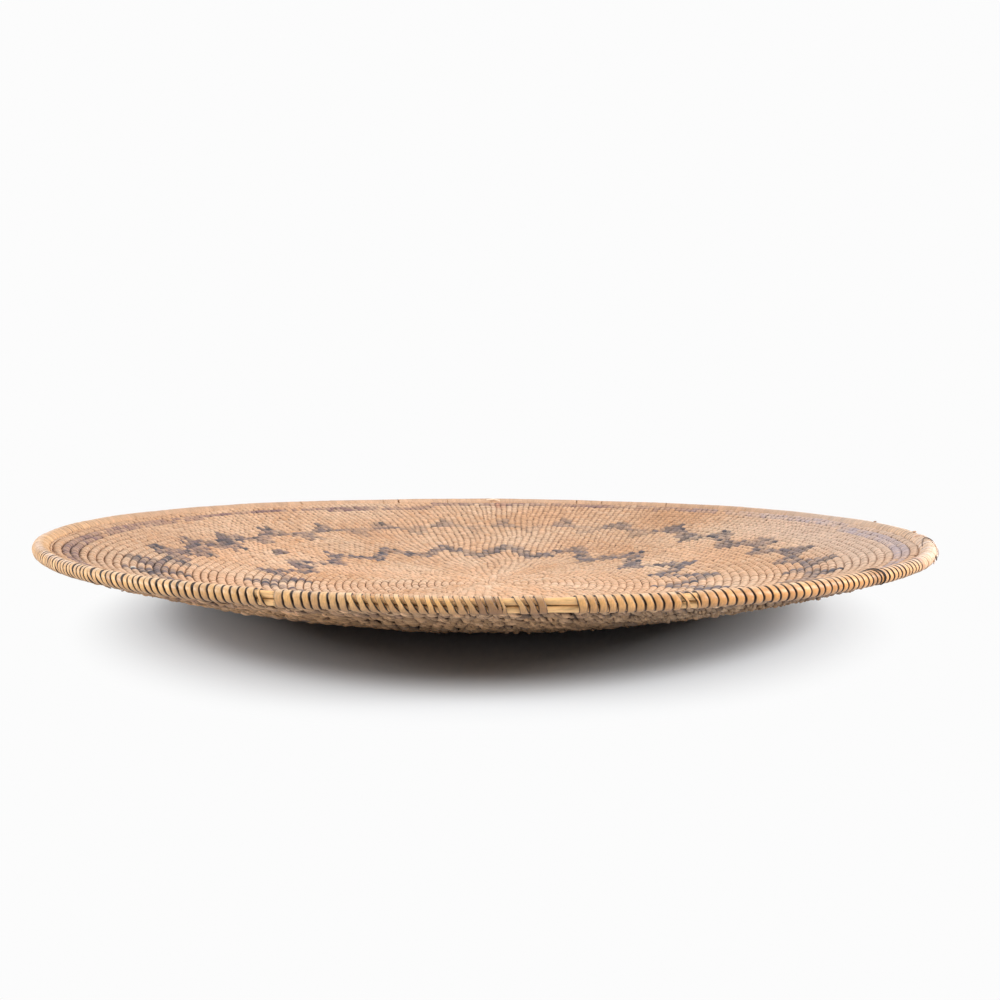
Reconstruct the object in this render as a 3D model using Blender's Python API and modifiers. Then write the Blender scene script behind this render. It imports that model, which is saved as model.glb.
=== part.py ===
"""Coiled gambling tray: a shallow round basket on which dice or seeds are tossed.

The tray is one long coil. It starts at a small knot, runs round in a flat base,
climbs in a shallow wall and ends in a taper under the rim. The rim is a hoop of
three thin rods in a row of binding, which has worn away in four places.

Each turn of the modelled coil carries two sewn rows, side by side, with a groove
between them on the inner face of the dish. The coil is made in lengths that butt
end to end, as the maker joins new foundation to the old where the colours change.

Metres, +Z up. The origin is at the centre of the base, on the table. The side
that faces the viewer is at -Y.
"""

import math

import bpy
import bmesh
import numpy as np
from mathutils import Vector

MM = 0.001

# Overall size and the dish's cross-section
TRAY_RADIUS = 250 * MM
BASE_RADIUS = 75 * MM
WALL_RISE = 35 * MM
WALL_CURVE = 1.8

# How the dish has warped with age: one side higher, and a slight saddle
WARP_TILT = 4.5 * MM
WARP_TILT_SIDE = math.radians(252)
WARP_SADDLE = 1.1 * MM

# The coil: its section, its tapered start and end, and how far it is worn flat
# where it stands on the table
COIL_THICKNESS = 6.3 * MM
COIL_GAP = 0.45 * MM
ROW_GROOVE = 1.5 * MM
CREST_SHARE = 0.5
FOOT_SHARE = 0.76
START_TURN = 1 / 6
TAPER_TURNS = 5 / 6
REST_DEPTH = 0.63 * MM
BUTT_GAP = 0.3 * MM

# The knot that the coil starts from: a button with a raised ring and a dimple
KNOT_RADIUS = 7 * MM
KNOT_RING_INSET = 2.8 * MM
KNOT_DIMPLE = 1.2 * MM
KNOT_EDGE_DROP = 2.2 * MM
KNOT_FOOT_BEVEL = 1.2 * MM

# The rim: three rods in a binding
ROD_RADIUS = 1.1 * MM
ROD_GAP = 0.3 * MM
BORE_CLEARANCE = 0.3 * MM
BINDING_WALL = 0.65 * MM
FINISH_LENGTH = 14 * MM
FINISH_SWELL = 0.8 * MM

# Facets
COIL_POINTS = 24
RIM_POINTS = 2 * COIL_POINTS
ROD_SIDES = 6
BINDING_SIDES = 8
KNOT_STEPS = 24
FINISH_STATIONS = 6
SMOOTH_BELOW = math.radians(88)

# The coil's lengths, from the knot outwards, and the turns in each
COIL_LENGTHS = [
    ("centre_coil", 3.5),
    ("base_coil_inner", 3),
    ("base_coil_outer", 3),
    ("inner_zigzag_coil_1", 1.25),
    ("inner_zigzag_coil_2", 1.25),
    ("inner_zigzag_coil_3", 1.25),
    ("middle_coil_inner", 2),
    ("middle_coil_outer", 1.75),
    ("outer_zigzag_coil_1", 1.25),
    ("outer_zigzag_coil_2", 1.25),
    ("upper_coil_inner", 1.25),
    ("upper_coil_outer", 1.25),
    ("dark_band_coil", 1),
]

# Where each rod's two ends meet, inside the binding
ROD_JOINTS = {
    "rim_rod_upper": math.radians(60),
    "rim_rod_lower": math.radians(150),
    "rim_rod_inner": math.radians(215),
}

# The knotted end of the binding, and the places between bindings: the angle and
# the length of rods left bare there
FINISH_ANGLE = math.radians(-14)
BARE_PLACES = [
    (math.radians(90), BUTT_GAP),
    (math.radians(180), BUTT_GAP),
    (math.radians(251.3), 4.6 * MM),
    (math.radians(272.5), 3.5 * MM),
    (math.radians(277.2), 11 * MM),
    (math.radians(288.5), 4.5 * MM),
]
BINDING_NAMES = [
    "binding_back_right",
    "binding_back_left",
    "binding_left",
    "binding_front_left",
    "binding_front_middle",
    "binding_front_right",
    "binding_right",
]

# Colours, as linear RGB
NATURAL = (0.56, 0.34, 0.18)
GOLDEN = (0.62, 0.37, 0.13)
PALE = (0.68, 0.47, 0.26)
ZIGZAG = (0.20, 0.15, 0.12)
BAND = (0.17, 0.09, 0.07)

# Worked out from the sizes above
FULL_TURN = 2 * math.pi
COIL_TURNS = round(sum(turns for name, turns in COIL_LENGTHS) * COIL_POINTS) / COIL_POINTS
ROD_RING = (2 * ROD_RADIUS + ROD_GAP) / math.sqrt(3)
BORE_RADIUS = ROD_RING + ROD_RADIUS + BORE_CLEARANCE
RIM_RADIUS = BORE_RADIUS + BINDING_WALL
RIM_PATH_RADIUS = TRAY_RADIUS - RIM_RADIUS
WALL_RADIUS = TRAY_RADIUS - 2 * RIM_RADIUS - COIL_GAP
COIL_PITCH = (WALL_RADIUS - KNOT_RADIUS) / COIL_TURNS


def clear_scene():
    """Remove whatever the file opened with."""
    for item in list(bpy.data.objects):
        bpy.data.objects.remove(item, do_unlink=True)


def new_collection(name):
    """A collection linked to the scene."""
    collection = bpy.data.collections.new(name)
    bpy.context.scene.collection.children.link(collection)
    return collection


def material(name, colour, roughness):
    """A plain plant-fibre material of one colour."""
    fibre = bpy.data.materials.new(name)
    fibre.use_nodes = True
    shader = fibre.node_tree.nodes["Principled BSDF"]
    shader.inputs["Base Color"].default_value = (*colour, 1.0)
    shader.inputs["Roughness"].default_value = roughness
    shader.inputs["Metallic"].default_value = 0.0
    fibre.diffuse_color = (*colour, 1.0)
    return fibre


def wall_reach(radius):
    """How far up the wall a radius is, from 0 at the base to 1 at the rim."""
    return max(0.0, (radius - BASE_RADIUS) / (TRAY_RADIUS - BASE_RADIUS))


def wall_height(radius):
    """Height of the coil's middle above the table, before the warp."""
    climb = WALL_RISE * wall_reach(radius) ** WALL_CURVE
    return COIL_THICKNESS / 2 - REST_DEPTH + climb


def wall_slope(radius):
    """Steepness of the wall, as rise over run."""
    run = TRAY_RADIUS - BASE_RADIUS
    return WALL_RISE * WALL_CURVE * wall_reach(radius) ** (WALL_CURVE - 1) / run


def warp(radius, angle):
    """How far the warp lifts a place on the tray."""
    share = (radius / TRAY_RADIUS) ** 2
    tilt = WARP_TILT * math.cos(angle - WARP_TILT_SIDE)
    saddle = WARP_SADDLE * math.cos(2 * angle)
    return share * (tilt + saddle)


def at(radius, angle, height):
    """A point from its radius, angle and height."""
    return Vector((radius * math.cos(angle), radius * math.sin(angle), height))


def outer_edge(turn):
    """Plan radius of the coil's outer edge at a turn, counted from the knot."""
    return min(KNOT_RADIUS + COIL_PITCH * turn, WALL_RADIUS)


def inner_edge(turn):
    """Plan radius of the coil's inner edge, a gap outside the turn before."""
    return max(outer_edge(turn - 1), KNOT_RADIUS) + COIL_GAP


def chord_radius(turn):
    """Radius of the faceted outer edge between two points of the coil."""
    first = math.floor(turn * COIL_POINTS + 1e-6)
    near = outer_edge(first / COIL_POINTS)
    far = outer_edge((first + 1) / COIL_POINTS)
    step = FULL_TURN / COIL_POINTS
    past = (turn * COIL_POINTS - first) * step
    return near * far * math.sin(step) / (far * math.sin(step - past) + near * math.sin(past))


def coil_section(inside, outside, angle):
    """The coil's section at an angle: two rounded rows with a groove between.

    The section leans with the wall, and is flat where it would reach the table.
    """
    middle = (inside + outside) / 2
    half = (outside - inside) / 2
    slope = wall_slope(middle)
    lean = math.atan(slope)
    centre = wall_height(middle) + warp(middle, angle)
    half_thick = COIL_THICKNESS / 2
    foot = FOOT_SHARE * half
    crest = CREST_SHARE * half
    corners = [
        (-foot, -half_thick),
        (foot, -half_thick),
        (half, 0.0),
        (crest, half_thick),
        (0.0, half_thick - ROW_GROOVE),
        (-crest, half_thick),
        (-half, 0.0),
    ]
    ring = []
    for across, up in corners:
        radius = middle + across - up * math.sin(lean)
        height = centre + across * slope + up * math.cos(lean)
        ring.append(at(radius, angle, max(height, 0.0)))
    return ring


def round_section(path_radius, angle, offset, size, sides, flat_sides=True):
    """A many-sided section of a rim piece, whose flats lie at the given size."""
    centre_height = wall_height(path_radius) + warp(path_radius, angle)
    corner = size
    turn_by = 0.0
    if flat_sides:
        corner = size / math.cos(math.pi / sides)
        turn_by = math.pi / sides
    ring = []
    for index in range(sides):
        around = turn_by + FULL_TURN * index / sides
        out = offset[0] + corner * math.cos(around)
        up = offset[1] + corner * math.sin(around)
        ring.append(at(path_radius + out, angle, centre_height + up))
    return ring


def between(first, second, share):
    """A section part of the way from one section to the next."""
    return [a.lerp(b, share) for a, b in zip(first, second)]


def finish_mesh(name, shape, collection, fibre):
    """Turn a bmesh into a smooth-shaded object in the tray's collection."""
    bmesh.ops.recalc_face_normals(shape, faces=shape.faces)
    mesh = bpy.data.meshes.new(name)
    shape.to_mesh(mesh)
    shape.free()
    mesh.materials.append(fibre)
    mesh.shade_smooth()
    mesh.set_sharp_from_angle(angle=SMOOTH_BELOW)
    piece = bpy.data.objects.new(name, mesh)
    collection.objects.link(piece)
    return piece


def skin(shape, rows):
    """Join neighbouring rows of points with four-sided faces."""
    for first, second in zip(rows, rows[1:]):
        count = len(first)
        for index in range(count):
            after = (index + 1) % count
            shape.faces.new((first[index], first[after], second[after], second[index]))


def loft(name, sections, collection, fibre):
    """A solid through a row of sections, closed by a face at each end."""
    shape = bmesh.new()
    rows = [[shape.verts.new(point) for point in section] for section in sections]
    skin(shape, rows)
    shape.faces.new(rows[0])
    shape.faces.new(rows[-1])
    return finish_mesh(name, shape, collection, fibre)


def sleeve(name, outer_sections, bore_sections, collection, fibre):
    """A tube with an open bore, from matching outer and bore sections."""
    shape = bmesh.new()
    outer = [[shape.verts.new(point) for point in section] for section in outer_sections]
    bore = [[shape.verts.new(point) for point in section] for section in bore_sections]
    skin(shape, outer)
    skin(shape, bore)
    for end in (0, -1):
        skin(shape, [outer[end], bore[end]])
    return finish_mesh(name, shape, collection, fibre)


def spoke_angles(start, end, points, gap_start, gap_end, radius):
    """Angles from start to end, with a short gap left at each end.

    Between the ends they fall on the spokes that all rim pieces share.
    """
    step = FULL_TURN / points
    first = start + gap_start / radius
    last = end - gap_end / radius
    angles = [first]
    spoke = math.floor(first / step) + 1
    while spoke * step < last - 1e-6:
        if spoke * step > first + 1e-6:
            angles.append(spoke * step)
        spoke += 1
    angles.append(last)
    return angles


def on_spokes(section_at, angle, points):
    """A section at any angle, on the straight facets between two spokes."""
    step = FULL_TURN / points
    spoke = math.floor(angle / step + 1e-9)
    share = angle / step - spoke
    first = section_at(spoke * step)
    if share < 1e-6:
        return first
    return between(first, section_at((spoke + 1) * step), share)


def coil_sections(first, last):
    """Sections of a coil length, between two stations counted from the knot."""
    sections = []
    for station in range(first, last + 1):
        turn = station / COIL_POINTS
        sections.append(coil_section(inner_edge(turn), outer_edge(turn), turn * FULL_TURN))
    return trim_ends(sections)


def taper_sections():
    """Sections of the last turn, which narrows to a thin end under the rim."""
    sections = []
    for station in range(round(TAPER_TURNS * RIM_POINTS) + 1):
        turn = COIL_TURNS + station / RIM_POINTS
        inside = chord_radius(turn - 1) + COIL_GAP
        sections.append(coil_section(inside, WALL_RADIUS, turn * FULL_TURN))
    return trim_ends(sections)


def trim_ends(sections):
    """Move the end sections in by half a butt gap, along the coil."""
    trimmed = list(sections)
    first_step = (sections[1][0] - sections[0][0]).length
    last_step = (sections[-1][0] - sections[-2][0]).length
    trimmed[0] = between(sections[0], sections[1], BUTT_GAP / 2 / first_step)
    trimmed[-1] = between(sections[-1], sections[-2], BUTT_GAP / 2 / last_step)
    return trimmed


def least_self_gap(coil):
    """The least distance between points of the coil half a turn or more apart.

    The coil is given as the sections of its lengths, each with its turn.
    """
    turns = np.array([turn for turn, section in coil])
    points = np.array([[list(point) for point in section] for turn, section in coil])
    least = math.inf
    for index, turn in enumerate(turns):
        later = points[turns > turn + 0.5]
        if len(later):
            apart = np.linalg.norm(later[:, :, None, :] - points[index][None, None], axis=3)
            least = min(least, float(apart.min()))
    return least


def make_knot(collection):
    """The small hard button of fibre at the centre, turned with a Screw modifier."""
    fibre = material("knot_fibre", NATURAL, 0.75)
    top = COIL_THICKNESS - REST_DEPTH
    ring = KNOT_RADIUS - KNOT_RING_INSET
    shoulder = KNOT_RADIUS - KNOT_RING_INSET / 2
    profile = [
        (0.0, top - KNOT_DIMPLE),
        (ring / 2, top - KNOT_DIMPLE / 2),
        (ring, top),
        (shoulder, top - KNOT_EDGE_DROP / 4),
        (KNOT_RADIUS, top - KNOT_EDGE_DROP),
        (KNOT_RADIUS, KNOT_FOOT_BEVEL),
        (KNOT_RADIUS - KNOT_FOOT_BEVEL, 0.0),
        (0.0, 0.0),
    ]
    mesh = bpy.data.meshes.new("start_knot")
    points = [(radius, 0.0, height) for radius, height in profile]
    edges = [(index, index + 1) for index in range(len(points) - 1)]
    mesh.from_pydata(points, edges, [])
    mesh.materials.append(fibre)
    knot = bpy.data.objects.new("start_knot", mesh)
    collection.objects.link(knot)
    screw = knot.modifiers.new("turned", "SCREW")
    screw.steps = KNOT_STEPS
    screw.render_steps = KNOT_STEPS
    screw.use_merge_vertices = True
    screw.merge_threshold = 0.01 * MM
    screw.use_smooth_shade = True
    screw.use_normal_calculate = True
    return knot


def make_coil(collection):
    """The coil's lengths, from the knot to the dark band, and its tapered end."""
    colours = {"zigzag": ZIGZAG, "dark": BAND}
    coil = []
    start = 0.0
    first = round(START_TURN * COIL_POINTS)
    for name, turns in COIL_LENGTHS:
        start += turns
        last = round(start * COIL_POINTS)
        colour = NATURAL
        for word, dyed in colours.items():
            if word in name:
                colour = dyed
        sections = coil_sections(first, last)
        loft(name, sections, collection, material(name + "_fibre", colour, 0.7))
        coil += [((first + index) / COIL_POINTS, part) for index, part in enumerate(sections)]
        first = last
    sections = taper_sections()
    loft("under_rim_coil", sections, collection, material("under_rim_coil_fibre", NATURAL, 0.7))
    coil += [(COIL_TURNS + index / RIM_POINTS, part) for index, part in enumerate(sections)]
    print("coil pitch, mm:", round(COIL_PITCH / MM, 3))
    print("least gap of the coil to itself, mm:", round(least_self_gap(coil) / MM, 3))


def make_rods(collection):
    """Three thin rods bent round in hoops, packed in a triangle inside the rim."""
    seats = {
        "rim_rod_upper": math.radians(60),
        "rim_rod_lower": math.radians(-60),
        "rim_rod_inner": math.radians(180),
    }
    for name, seat in seats.items():
        offset = (ROD_RING * math.cos(seat), ROD_RING * math.sin(seat))

        def section_at(angle, offset=offset):
            return round_section(RIM_PATH_RADIUS, angle, offset, ROD_RADIUS, ROD_SIDES, False)

        joint = ROD_JOINTS[name]
        angles = spoke_angles(
            joint, joint + FULL_TURN, RIM_POINTS, BUTT_GAP / 2, BUTT_GAP / 2, RIM_PATH_RADIUS
        )
        sections = [on_spokes(section_at, angle, RIM_POINTS) for angle in angles]
        loft(name, sections, collection, material(name + "_wood", GOLDEN, 0.55))


def bore_at(angle):
    """The bore's section, round the three rods."""
    return round_section(RIM_PATH_RADIUS, angle, (0.0, 0.0), BORE_RADIUS, BINDING_SIDES)


def binding_at(angle):
    """The outside of the binding."""
    return round_section(RIM_PATH_RADIUS, angle, (0.0, 0.0), RIM_RADIUS, BINDING_SIDES)


def make_bindings(collection):
    """The binding round the rim, in runs that stop at each bare place."""
    half_finish = FINISH_LENGTH / 2 + BUTT_GAP
    stops = [(FINISH_ANGLE, 2 * half_finish)]
    stops += BARE_PLACES
    stops += [(FINISH_ANGLE + FULL_TURN, 2 * half_finish)]
    for index, name in enumerate(BINDING_NAMES):
        start, start_bare = stops[index]
        end, end_bare = stops[index + 1]
        angles = spoke_angles(
            start, end, RIM_POINTS, start_bare / 2, end_bare / 2, RIM_PATH_RADIUS
        )
        outer = [on_spokes(binding_at, angle, RIM_POINTS) for angle in angles]
        bore = [on_spokes(bore_at, angle, RIM_POINTS) for angle in angles]
        sleeve(name, outer, bore, collection, material(name + "_strand", PALE, 0.6))


def make_finish(collection):
    """The lump where the binding strand is knotted off, swelling out and up."""
    half_angle = FINISH_LENGTH / 2 / RIM_PATH_RADIUS
    outer = []
    bore = []
    for station in range(FINISH_STATIONS + 1):
        share = station / FINISH_STATIONS
        angle = FINISH_ANGLE + half_angle * (2 * share - 1)
        swell = FINISH_SWELL * math.sin(math.pi * share) / 2

        def swollen_at(spoke, swell=swell):
            size = RIM_RADIUS + swell
            return round_section(RIM_PATH_RADIUS, spoke, (swell, swell), size, BINDING_SIDES)

        outer.append(on_spokes(swollen_at, angle, RIM_POINTS))
        bore.append(on_spokes(bore_at, angle, RIM_POINTS))
    sleeve("rim_finish_knot", outer, bore, collection, material("finish_strand", PALE, 0.65))


def main():
    """Build the tray."""
    clear_scene()
    tray = new_collection("gambling_tray")
    make_knot(tray)
    make_coil(tray)
    make_rods(tray)
    make_bindings(tray)
    make_finish(tray)
    print("pieces:", len(tray.objects))


main()
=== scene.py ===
# %% [markdown]
# A coiled gambling tray
#
# This lesson dresses a plain model of a shallow basket tray. The real tray is one
# long bundle of fibre, wound in a spiral, and sewn with thousands of stitches. Its
# look comes almost wholly from those stitches, so most cells here place and shape
# them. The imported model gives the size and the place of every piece.

import math

import bpy
import numpy as np
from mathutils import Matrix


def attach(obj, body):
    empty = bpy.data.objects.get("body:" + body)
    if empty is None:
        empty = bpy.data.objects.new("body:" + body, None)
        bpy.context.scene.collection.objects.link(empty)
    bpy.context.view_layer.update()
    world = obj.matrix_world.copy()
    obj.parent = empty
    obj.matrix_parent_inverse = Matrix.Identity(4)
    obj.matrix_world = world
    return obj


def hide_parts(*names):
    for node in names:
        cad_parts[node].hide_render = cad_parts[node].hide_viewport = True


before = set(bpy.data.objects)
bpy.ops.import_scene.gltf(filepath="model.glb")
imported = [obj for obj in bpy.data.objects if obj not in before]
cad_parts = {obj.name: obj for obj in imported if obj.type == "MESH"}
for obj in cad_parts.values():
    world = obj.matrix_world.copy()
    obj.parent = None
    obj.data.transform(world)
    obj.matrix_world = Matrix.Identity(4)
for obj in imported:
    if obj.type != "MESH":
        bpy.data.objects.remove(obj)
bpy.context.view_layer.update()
print("packed nodes:", len(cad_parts))

# %% [markdown]
# The camera
#
# The picture is taken from the front and only a little above the rim, so the bowl
# is seen as a thin ellipse. The camera's place was found by fitting the outline of
# the model to the outline in the picture. A lens of 36 mm on a 36 mm sensor gives
# the strong perspective that makes the near rim look large.

# %% Place the camera
CAMERA_PLACE = (0.00788, -0.6048, 0.10965)
CAMERA_LENS = 36.22
CAMERA_PITCH = math.radians(5.1134)

camera_data = bpy.data.cameras.new("camera")
camera_data.sensor_width = 36.0
camera_data.lens = CAMERA_LENS
camera = bpy.data.objects.new("camera", camera_data)
camera.location = CAMERA_PLACE
camera.rotation_euler = (math.pi / 2 - CAMERA_PITCH, 0.0, 0.0)
bpy.context.scene.collection.objects.link(camera)
bpy.context.scene.camera = camera
print("camera at", CAMERA_PLACE)

# %% [markdown]
# The form of the bowl
#
# Everything on the tray follows one curve: flat in the middle, then rising ever
# faster to the rim, with a slight warp from age. The same few numbers shape the
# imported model, so they are repeated here, in millimetres. Each function takes
# whole arrays, because numpy then places thousands of stitches at once.

# %% Describe the bowl
MM = 0.001
TRAY_RADIUS = 250.0
BASE_RADIUS = 75.0
WALL_RISE = 35.0
WALL_CURVE = 1.8
WARP_TILT = 4.5
WARP_TILT_SIDE = math.radians(252)
WARP_SADDLE = 1.1
COIL_THICKNESS = 6.3
REST_DEPTH = 0.63
FULL_TURN = 2 * math.pi


def wall_reach(radius):
    """How far up the wall a radius is, from 0 at the base to 1 at the rim."""
    return np.maximum(0.0, (radius - BASE_RADIUS) / (TRAY_RADIUS - BASE_RADIUS))


def wall_height(radius):
    """Height of the coil's middle above the table, before the warp."""
    climb = WALL_RISE * wall_reach(radius) ** WALL_CURVE
    return COIL_THICKNESS / 2 - REST_DEPTH + climb


def wall_slope(radius):
    """Steepness of the wall, as rise over run."""
    run = TRAY_RADIUS - BASE_RADIUS
    return WALL_RISE * WALL_CURVE * wall_reach(radius) ** (WALL_CURVE - 1) / run


def warp(radius, angle):
    """How far the warp lifts a place on the tray."""
    share = (radius / TRAY_RADIUS) ** 2
    tilt = WARP_TILT * np.cos(angle - WARP_TILT_SIDE)
    return share * (tilt + WARP_SADDLE * np.cos(2 * angle))


def near(degrees, middle, reach):
    """1 close to a place round the tray, 0 well past the reach, all in degrees."""
    away = (np.asarray(degrees) - middle + 180) % 360 - 180
    return np.exp(-((away / reach) ** 4))


def ramp(value, start, length):
    """0 before the start, 1 past the length. A length below 0 runs the other way."""
    return np.clip((value - start) / length, 0, 1)


def read_round(table, degrees, column=1):
    """A value from a table of places round the tray, even between its rows."""
    return np.interp(degrees, table[:, 0], table[:, column], period=360)


print("rim height, mm:", round(float(wall_height(TRAY_RADIUS)), 1))

# %% [markdown]
# The spiral of rows
#
# The coil starts at a small knot and winds outwards, one row a turn. A place on
# it is named by its turn: 3.5 is half way round the fourth row. The last turn
# narrows to nothing under the rim. The rows were measured in the picture: they are
# about 4.6 mm wide near the middle, 5 mm half way out and 4 mm near the rim. They
# also wander a little, so a smooth field of sine waves bends them.

# %% Lay out the rows
KNOT_RADIUS = 7.0
KNOT_MIDDLE = 4.0
KNOT_HALF = 2.9
KNOT_TURN = -0.5
RIM_RADIUS = 3.493
RIM_GAP = 0.45
RIM_PATH = TRAY_RADIUS - RIM_RADIUS
WALL_RADIUS = TRAY_RADIUS - 2 * RIM_RADIUS - RIM_GAP
ROWS = 53
ROW_PITCH = 4.6
EDGE_TURNS = (0.0, 24.5, 33.0, ROWS)
EDGE_RADII = (KNOT_RADIUS, 119.0, 161.0, WALL_RADIUS)


def row_edge(turn):
    """Radius of the coil's outer edge at a turn."""
    return np.interp(turn, EDGE_TURNS, EDGE_RADII)


def row_middle(turn):
    """Radius of the middle of the row, with the knot as the row before the first."""
    middle = (row_edge(turn) + row_edge(turn - 1)) / 2
    return np.where(turn < 0, KNOT_MIDDLE, middle)


def row_half(turn):
    """Half the width of the row."""
    half = (row_edge(turn) - row_edge(turn - 1)) / 2
    return np.where(turn < 0, KNOT_HALF, half)


def wander(seed, count, most_lobes, wave):
    """A smooth field of angle and radius, about -1 to 1, the same on each run."""
    rng = np.random.default_rng(seed)
    lobes = rng.integers(1, most_lobes + 1, count)
    ripple = rng.uniform(-1, 1, count) * FULL_TURN / wave
    phase = rng.uniform(0, FULL_TURN, count)

    def field(angle, radius):
        waves = [np.sin(lobe * angle + bend * radius + start)
                 for lobe, bend, start in zip(lobes, ripple, phase)]
        return sum(waves) / math.sqrt(count)

    return field


row_wobble = wander(11, 8, 14, 60.0)
height_wobble = wander(12, 8, 18, 45.0)
print("rows:", ROWS, "mean pitch, mm:", round((WALL_RADIUS - KNOT_RADIUS) / ROWS, 2))

# %% [markdown]
# Where the stitches go
#
# A sewer puts each stitch beside the one in the row below, so stitches line up in
# ribs that run out from the centre. As the rows get longer the ribs would spread,
# so now and then an extra stitch goes in, and a rib forks. This cell does the
# same: each row copies the row before, lets it drift a little, adds stitches in
# the widest gaps, and evens them out.

# %% Grow each row from the last
STITCH_PITCH = 4.4
DRIFT = 0.55
RIB_LEAN = 0.4
UNSTEADY = 0.06
EVEN_PASSES = 2
EVEN_SHARE = 0.3

stitch_drift = wander(21, 10, 12, 70.0)


def gaps_round(angles):
    """The gap from each stitch to the next, round the row."""
    return np.diff(np.append(angles, angles[0] + FULL_TURN))


def next_row(angles, row, rng):
    """The stitches of a row, and for each the angle of the one it grew from."""
    radius = float(row_middle(row + 0.5))
    came_from = angles.copy()
    angles = angles + (DRIFT * stitch_drift(angles, radius) + RIB_LEAN) / radius
    angles = angles + rng.normal(0, UNSTEADY, len(angles)) / radius
    wanted = round(FULL_TURN * radius / STITCH_PITCH)
    more = max(0, wanted - len(angles))
    weight = gaps_round(angles) * rng.uniform(0.8, 1.2, len(angles))
    widest = np.sort(np.argsort(weight)[len(angles) - more:]) if more else []
    for index in reversed(widest):
        middle = angles[index] + gaps_round(angles)[index] / 2
        angles = np.insert(angles, index + 1, middle)
        came_from = np.insert(came_from, index + 1, middle)
    for _ in range(EVEN_PASSES):
        before = np.roll(angles, 1)
        before[0] -= FULL_TURN
        after = np.roll(angles, -1)
        after[-1] += FULL_TURN
        angles = angles + EVEN_SHARE * ((before + after) / 2 - angles)
    return angles, came_from


print("stitches in the widest row:", round(FULL_TURN * WALL_RADIUS / STITCH_PITCH))

# %% [markdown]
# The reach of each stitch
#
# A stitch reaches half way to its neighbours, a little more or less, and meets the
# stitches of the rows inside and outside it. The last stitch of a row ends where the
# first of the next row starts, so no gap is left where the spiral steps outwards.

# %% Measure every stitch
FIRST_STITCHES = 12
KNOT_STITCHES = 11
SEAM_JITTER = 0.055
SEAM_LIMITS = (0.3, 0.7)
LAST_TURN = ROWS + 0.8


def circle(count):
    """Even angles round a full turn."""
    return np.arange(count) * FULL_TURN / count


def sew():
    """Every stitch of the coil, as arrays."""
    rng = np.random.default_rng(5)
    knot = circle(KNOT_STITCHES)
    angles = circle(FIRST_STITCHES)
    rows = [(-1, knot, knot), (0, angles, angles)]
    for row in range(1, ROWS + 1):
        angles, came_from = next_row(angles, row, rng)
        rows.append((row, angles, came_from))
    found = {"row": [], "angle": [], "before": [], "after": [], "inner": [], "outer": []}
    left_over = 0.0
    for index, (row, angles, came_from) in enumerate(rows):
        gap = gaps_round(angles)
        outer = np.zeros(len(angles))
        if 1 <= index < len(rows) - 1:
            _, above, above_from = rows[index + 1]
            gap[-1] = above[0] + FULL_TURN - angles[-1]
            nearest = np.abs(above_from[:, None] - angles[None, :]).argmin(0)
            outer = (above[nearest] - angles) / 2
        share = np.clip(rng.normal(0.5, SEAM_JITTER, len(angles)), *SEAM_LIMITS)
        before = np.roll(gap * (1 - share), 1)
        left_over, before[0] = before[0], left_over if index > 1 else before[0]
        found["row"].append(np.full(len(angles), row))
        found["angle"].append(angles)
        found["before"].append(before)
        found["after"].append(gap * share)
        found["inner"].append((came_from - angles) / 2)
        found["outer"].append(outer)
    made = {name: np.concatenate(parts) for name, parts in found.items()}
    spiral = made["row"] + made["angle"] / FULL_TURN
    made["turn"] = np.where(made["row"] < 0, KNOT_TURN, spiral)
    kept = made["turn"] < LAST_TURN
    return {name: part[kept] for name, part in made.items()}


stitches = sew()
stitch_count = len(stitches["angle"])
degrees = np.degrees(stitches["angle"]) % 360
stitch_radius = row_middle(stitches["turn"])
print("stitches:", stitch_count)

# %% [markdown]
# The pattern
#
# Two bands of zigzag and one ring are sewn in dyed strand. The outer zigzag is
# made of small stepped triangles that point up and down from one dark row. The
# inner one is a broad wavy band. Dye is a property of a strand, so it is decided
# stitch by stitch, and the steps come by themselves. The peaks aren't quite even
# round the tray, as on the real one. Where they can't be seen, they are spaced
# evenly.

# %% Place the peaks
OUTER_PEAKS = [-32.5, -21.9, -8.0, 5.6, 19.4, 32.5, 45.6, 59.4, 72.9, 87.0, 100.6, 115.9,
               130.0, 143.5, 156.3, 167.0, 178.8, 192.5, 203.8]
INNER_PEAKS = [-21.9, -0.6, 20.0, 41.9, 62.3, 84.6, 104.4, 123.8, 141.3, 158.0, 175.6, 192.5]
OUTER_STEP = 13.33
INNER_STEP = 20.0


def all_peaks(seen, step):
    """The peaks that were counted, and even ones for the side that wasn't seen."""
    missing = 360 - (seen[-1] - seen[0])
    extra = round(missing / step) - 1
    more = [seen[-1] + missing * (i + 1) / (extra + 1) for i in range(extra)]
    return np.array(seen + more)


def place_in_wave(degrees, peaks):
    """Degrees to the nearest peak and the nearest valley, and half the way between peaks."""
    turned = (degrees - peaks[0]) % 360 + peaks[0]
    ends = np.append(peaks, peaks[0] + 360)
    index = np.clip(np.searchsorted(ends, turned, side="right") - 1, 0, len(peaks) - 1)
    low, high = ends[index], ends[index + 1]
    valley = (low + high) / 2
    to_peak = np.minimum(turned - low, high - turned)
    return to_peak, np.abs(turned - valley), (high - low) / 2


outer_peaks = all_peaks(OUTER_PEAKS, OUTER_STEP)
inner_peaks = all_peaks(INNER_PEAKS, INNER_STEP)
print("peaks:", len(outer_peaks), "outer and", len(inner_peaks), "inner")

# %% [markdown]
# The dye of the zigzags
#
# A triangle is widest at the dark row and narrows to its tip, so a stitch is dyed
# when it lies closer to the peak than the triangle's half width at its radius. The
# triangles that point inwards are paler in places, and the dye is weaker at the
# back, where it has faded.

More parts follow.
